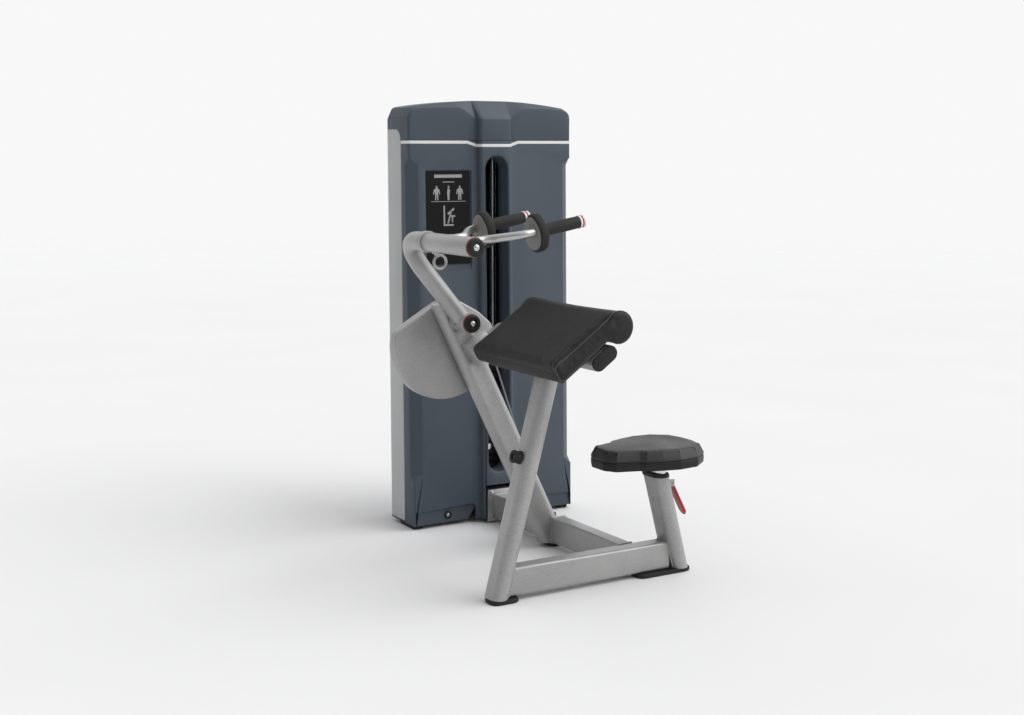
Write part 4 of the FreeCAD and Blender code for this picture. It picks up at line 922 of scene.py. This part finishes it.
def inset_target(p):
    """A point well inside the pad's section, square in from an outline point."""
    if p.x > 250:
        return ROLL_U, ROLL_V
    return min(max(p.x, 20), 250), 31


# ---------------------------------------------------------------- seat

SADDLE = [(222, 34), (246, 74), (322, 98), (338, 114), (392, 134), (452, 148), (528, 140), (588, 94),
          (604, 34)]


def saddle_loop(radius=9):
    corners = [(x, USER_Y - half) for x, half in SADDLE] + [(x, USER_Y + half) for x, half in SADDLE[::-1]]
    return rounded(corners, radius, 4)


def saddle_rings(profile):
    loop = saddle_loop()
    return [[at(p.x, p.y, z) for p in inset_loop(loop, pull)] for pull, z in profile]


def build_seat():
    profile = [(9, 385.2), (4, 386), (1.2, 389), (0.4, 394), (0, 404), (0.2, 411), (1.6, 414.4)]
    pan = loft("seat_pan_moulded", saddle_rings(profile))
    show(soften(pan, 0.8, 2, 50), "seat", "black_plastic", smooth=44, replaces=("seat_pan",))
    rings = saddle_rings([(5, 414.8), (1.5, 416), (0.2, 418.5), (0, 421)])
    loop = saddle_loop()
    centre = Vector((430, USER_Y))
    for pull, z in ((1.5, 424), (14, 446.5), (16, 448.6), (19, 450.4), (23, 451.6)):
        rings.append([at(p.x, p.y, z) for p in inset_loop(loop, pull)])
    rim = inset_loop(loop, 23)
    for share in (0.86, 0.7, 0.5, 0.3, 0.12):
        ring = []
        for p in rim:
            spot = centre + (p - centre) * share
            dish = 2.6 * math.exp(-((spot.y - USER_Y) / 60) ** 2) * math.exp(-((spot.x - 480) / 90) ** 2)
            ring.append(at(spot.x, spot.y, 451.6 + 1.4 * (1 - share) - dish))
        rings.append(ring)
    pad = loft("seat_pad_moulded", rings)
    show(pad, "seat", "pad_leather", SEAT_SKIN, smooth=24, replaces=("seat_pad",))
    refine("seat_lever", "red_plastic", 1.2)
    spot = at(512, USER_Y - 17.5, 310)
    bolt("lever_pin_near", spot, -Y, 5, "release_lever")
    bolt("lever_pin_far", at(512, USER_Y + 17.5, 310), Y, 5, "release_lever")
    ahead, down = math.sin(math.radians(28)), math.cos(math.radians(28))
    grip = []
    for k in range(5):
        drop = 60 + k * 13
        base = at(512 + drop * ahead + 7.5 * down, USER_Y, 310 - drop * down + 7.5 * ahead)
        grip.append(bar("rib", [base - Y * 0.012, base + Y * 0.012], 1.4, 8))
    show(join("lever_ribs", grip), "release_lever", "black_rubber", smooth=60)


# ---------------------------------------------------------------- lever and handles

GRIP_BEND, GRIP_TIP = (-165, 1170), (55, 1207)
RISE = math.atan2(GRIP_TIP[1] - GRIP_BEND[1], GRIP_TIP[0] - GRIP_BEND[0])
ALONG = Vector((math.cos(RISE), 0, math.sin(RISE)))
GRIP_LONG = (GRIP_TIP[0] - GRIP_BEND[0]) / math.cos(RISE)


def end_cap(name, body, centre, half, ring_nodes, cap_node):
    """A turned end: dull red ring, black cap with a shallow dish, and a domed bolt."""
    profile = [(half - 10, 0.2), (half - 0.2, 0.2), (half + 0.5, 1), (half + 0.5, 3.6), (half - 0.6, 4.9),
               (half - 10, 4.9)]
    ring = lathe(name + "_ring", profile, centre, -Y, 64, closed=True)
    show(ring, body, "red_plastic", DULL_RED, replaces=ring_nodes)
    cap = lathe(name + "_cap", [(half - 2.4, 3), (half - 1.6, 5.4), (half - 1.6, 9.5), (half - 2.8, 12.4),
                                (half - 5.5, 14.2), (half - 10, 15), (half - 17, 15), (half - 18, 14.4),
                                (half - 18.8, 12.6)], centre, -Y, 64)
    show(cap, body, "black_plastic", replaces=(cap_node,))
    bolt(name + "_bolt", centre - Y * 0.0126, -Y, 7, body, "chrome", 0.7)


def build_lever():
    end_cap("pivot", "arm", at(PIVOT[0], -570, PIVOT[1]), 32, ("pivot_ring",), "pivot_cap")
    start, corner = Vector((PIVOT[0], PIVOT[1])), Vector(ELBOW)
    run = (corner - start).normalized()
    normal = Vector((-run.y, run.x))
    saddle = []
    for k in range(96):
        t = 2 * math.pi * k / 96
        sideways = 30 * math.sin(t)
        ahead = math.sqrt(32 ** 2 - sideways ** 2) + 0.8
        spot = start + run * ahead + normal * sideways
        saddle.append(at(spot.x, -522 + 30 * math.cos(t), spot.y))
    show(bar("weld_hub", saddle, 2.8, 8, True, 0.14), "arm", "frame_paint", smooth=180)
    refine("arm_hub", "frame_paint", 1.5)
    profile = [(22, 0.1), (32.6, 0.1), (34, 1.6), (34, 9), (32.8, 10.4), (32.8, 12.6), (34, 14), (34, 23.4),
               (32.6, 25), (25, 25), (25, 308), (22, 308)]
    flange = lathe("adjuster_collar_turned", profile, at(ELBOW[0], -705, ELBOW[1]), -Y, 72, closed=True)
    show(flange, "arm", "frame_paint", replaces=("adjuster_collar",))
    seam = ring_points(at(ELBOW[0], -702, ELBOW[1]), Y, 30.6, 90)
    show(bar("weld_collar", seam, 2.2, 8, True, 0.14), "arm", "frame_paint", smooth=180)


def build_handles():
    end_cap("sleeve", "handles", at(ELBOW[0], -1018, ELBOW[1]), 30, (), "sleeve_cap")
    refine("handle_sleeve", "frame_paint", 2.0)
    grips, plates, guards, bands, reds, caps = [], [], [], [], [], []
    length = GRIP_LONG - 22

    def turned(name, axis, profile, closed=True):
        """A turned piece whose profile counts from the end of a grip."""
        return lathe(name, [(r, length + h) for r, h in profile], axis, ALONG, 40, closed)

    for tag, y, inward, start in (("near", -1077, 1, 46), ("far", -757, -1, 26)):
        axis = at(GRIP_BEND[0], y, GRIP_BEND[1])
        root = start + 33
        profile = [(12.7, root), (17.6, root + 0.2), (19.2, root + 1.6), (19.4, root + 6), (18.4, root + 8)]
        for k in range(1, 25):
            share = k / 25
            profile.append((18.4 + 0.7 * math.sin(share * math.pi), root + 8 + (length - root - 10) * share))
        profile += [(18.6, length - 1), (18.2, length), (12.7, length)]
        grips.append(lathe(f"grip_{tag}", profile, axis, ALONG, 40, closed=True))
        bands.append(turned("band", axis, [(12.7, 0.1), (19.4, 0.1), (20.2, 1), (20.2, 5), (19.6, 6),
                                           (12.7, 6)]))
        reds.append(turned("red", axis, [(12.7, 6.1), (19.2, 6.1), (19.6, 7), (19.6, 11.4), (19.0, 12.2),
                                         (12.7, 12.2)]))
        caps.append(turned("cap", axis, [(12, 12.3), (19.0, 12.3), (19.4, 13.2), (19.2, 18), (17.4, 20.6),
                                         (13.5, 21.8), (8, 22)], closed=False))
        shell = [(0.90, 6), (0.97, 6.6), (1.0, 9), (1.0, 27), (0.985, 30.5), (0.94, 32)]
        guards.append(hand_guard(tag, axis, inward, [(share, start + far) for share, far in shell]))
        face = [(0.86, 6.2), (0.86, 2.2), (0.845, 1), (0.82, 0.4)]
        plates.append(hand_guard(tag, axis, inward, [(share, start + far) for share, far in face]))
    show(join("hand_grips_moulded", grips), "handles", "black_rubber", smooth=50, replaces=("hand_grips",))
    show(join("grip_bands", bands), "handles", "chrome", WHITE)
    rings = join("grip_red_rings", reds)
    show(rings, "handles", "red_plastic", replaces=("handle_rings",))
    show(join("grip_end_caps", caps), "handles", "chrome", WHITE, replaces=("grip_caps",))
    show(join("hand_guards_moulded", guards), "handles", "black_rubber", smooth=40, replaces=("hand_guards",))
    show(join("guard_faces", plates), "handles", "guard_plate", smooth=40, replaces=("guard_plates",))
    pull = Vector((0.4, 0, -math.sqrt(0.84)))
    root = at(ELBOW[0], -750, ELBOW[1]) + pull * 0.0303
    shank = lathe("plunger_shank", [(8, 4), (8, 14), (6.5, 16), (6.5, 20)], root, pull, 32)
    loop = bar("plunger_loop", ring_points(root + pull * 0.038, Y, 21.5, 56), 4.4, 14, True)
    show(join("adjuster_plunger_bent", [shank, loop]), "plunger", "bare_steel", FINISH["frame_paint"], 60,
         ("adjuster_plunger",))
    profile = [(13, -3), (13, 2.5), (11.8, 3.8), (8.4, 3.8), (8.4, -3)]
    boss = lathe("plunger_boss", profile, root, pull, 40, closed=True)
    show(boss, "handles", "frame_paint")
    rod_weld = 13.2
    for k, root_y in enumerate((-990, -845)):
        collar = []
        for j in range(48):
            t = 2 * math.pi * j / 48
            up = 15 + rod_weld * math.sin(t)
            out = math.sqrt(30.6 ** 2 - up ** 2)
            collar.append(at(ELBOW[0] + out, root_y + rod_weld * math.cos(t), ELBOW[1] + up))
        show(bar(f"weld_rod_{k}", collar, 2.0, 8, True, 0.14), "handles", "bare_steel", smooth=180)


def hand_guard(tag, axis, inward, profile):
    """An egg-shaped hand guard, narrower below, set off towards the machine's middle."""
    centre = axis + Y * inward * 0.020 - Z * 0.008
    across, up = Y, ALONG.cross(Y) * -1
    rings = []
    for share, distance in profile:
        ring = []
        for k in range(72):
            t = 2 * math.pi * k / 72
            below = max(0.0, -math.sin(t))
            width, height = 52 * (1 - 0.2 * below ** 1.5), 57 + 3 * below
            spot = across * math.cos(t) * width + up * math.sin(t) * height
            ring.append(centre + (ALONG * distance + spot * share) / 1000)
        rings.append(ring)
    return loft(f"guard_{tag}", rings)


# ---------------------------------------------------------------- stack and cable

def build_stack():
    for node in ("resting_plates", "lifted_plates", "top_plate"):
        refine(node, "black_iron", 2.0)
    refine("selector_pin", "chrome", 1.0)
    refine("tower_base", "inner_steel", 1.5)
    refine("pulley_beam", "inner_steel", 1.5)
    low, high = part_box("lift_cable")
    middle = Vector(((low.x + high.x) / 2, (low.y + high.y) / 2, 0))
    path = [middle + Z * (low.z + (high.z - low.z) * k / 60) for k in range(61)]
    cable = bar("lift_cable_strand", path, 3.0, 12)
    show(cable, "frame", "cable_steel", smooth=60, replaces=("lift_cable",))
    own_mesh(cable)
    profile = [(9, 0), (9, 6), (7, 8), (7, 22), (5, 25), (4.2, 34)]
    swivel = lathe("cable_swivel", profile, middle + Z * low.z, Z, 32)
    show(swivel, "carriage", "bare_steel")


def dress_cad():
    """Give every CAD node that is still shown its own finish."""
    shown = {"chrome": ("guide_rods", "seat_inner_post"),
             "cable_steel": ("drive_cable", "cam_cable"),
             "bare_steel": ("pulley_axles", "pivot_bearings", "pivot_shaft", "handle_rods", "selector_rod"),
             "inner_steel": ("drive_cam",),
             "frame_paint": ("arm_tube",),
             "black_rubber": ("stack_cushions",),
             "pulley_plastic": ("guide_pulley", "foot_pulley", "base_pulley", "top_pulley")}
    slots = {node: slot for slot, nodes in shown.items() for node in nodes}
    for node, obj in frame["nodes"].items():
        if obj.hide_render:
            continue
        slot = slots[node]
        obj.data.materials.clear()
        obj.data.materials.append(FINISH[slot])


# ---------------------------------------------------------------- room, light and camera

BRIGHT_SIDE = Vector((0.8, 0.4, 0.45)).normalized()


def build_room():
    floor = new_object("floor", [(-30, -30, 0), (30, -30, 0), (30, 30, 0), (-30, 30, 0)], [(0, 1, 2, 3)])
    paint = Paint("floor_pale", 0.85, Specular_IOR_Level=0.1)
    paint.colour(paint.noise(0.9, 2.0), (0.3, (0.75, 0.75, 0.753)), (0.7, (0.765, 0.765, 0.768)))
    reach = paint.node("ShaderNodeVectorMath", {0: paint.place}, operation="LENGTH").outputs["Value"]
    fade = paint.node("ShaderNodeMapRange", {"Value": reach, "From Min": 5.0, "From Max": 22.0},
                      interpolation_type="SMOOTHSTEP")
    clear = paint.node("ShaderNodeBsdfTransparent")
    mixed = paint.node("ShaderNodeMixShader",
                       {0: fade.outputs[0], 1: paint.shader.outputs[0], 2: clear.outputs[0]})
    paint.tree.links.new(mixed.outputs[0], paint.tree.nodes["Material Output"].inputs["Surface"])
    floor.data.materials.append(paint.material)
    world = bpy.data.worlds.new("studio")
    scene.world = world
    world.use_nodes = True
    tree = world.node_tree
    sky = tree.nodes["Background"]
    place = tree.nodes.new("ShaderNodeTexCoord")
    facing = tree.nodes.new("ShaderNodeVectorMath")
    facing.operation = "DOT_PRODUCT"
    facing.inputs[1].default_value = BRIGHT_SIDE
    ramp = tree.nodes.new("ShaderNodeValToRGB")
    ramp.color_ramp.elements[0].position = 0.1
    ramp.color_ramp.elements[0].color = (0.3, 0.305, 0.315, 1)
    ramp.color_ramp.elements[1].position = 0.72
    ramp.color_ramp.elements[1].color = (0.94, 0.94, 0.943, 1)
    tree.links.new(place.outputs["Generated"], facing.inputs[0])
    scale = tree.nodes.new("ShaderNodeMapRange")
    scale.inputs["From Min"].default_value = -1.0
    tree.links.new(facing.outputs["Value"], scale.inputs["Value"])
    tree.links.new(scale.outputs[0], ramp.inputs["Fac"])
    tree.links.new(ramp.outputs[0], sky.inputs["Color"])
    scene.view_settings.view_transform = "Standard"


def add_sun(name, ahead, strength, spread):
    """A wide, soft light that travels in one direction."""
    light = bpy.data.lights.new(name, "SUN")
    light.energy = strength
    light.angle = spread
    obj = bpy.data.objects.new(name, light)
    obj.rotation_euler = ahead.to_track_quat("-Z", "Y").to_euler()
    scene.collection.objects.link(obj)


def build_camera():
    """The camera stands left of the machine's front, a little above its middle, and looks slightly down."""
    ahead = Vector((0.50864, 0.84886, -0.14401)).normalized()
    right = Vector((0.8578, -0.5140, 0)).normalized()
    up = right.cross(ahead).normalized()
    camera = bpy.data.cameras.new("camera")
    camera.sensor_width = 36
    camera.lens = 50.89
    obj = bpy.data.objects.new("camera", camera)
    turn = Matrix((right, up, -ahead)).transposed()
    obj.matrix_world = Matrix.Translation(CORNER + Vector((-2.397, -4.745, 1.429))) @ turn.to_4x4()
    scene.collection.objects.link(obj)
    scene.camera = obj
    add_sun("key", Vector((-0.6, 0.4, -0.7)), 1.8, 1.0)


build_shroud()
build_crown()
build_columns()
build_cover()
build_placard()
build_guards()
build_frame()
build_arm_pad()
build_seat()
build_lever()
build_handles()
build_stack()
dress_cad()
build_room()
build_camera()
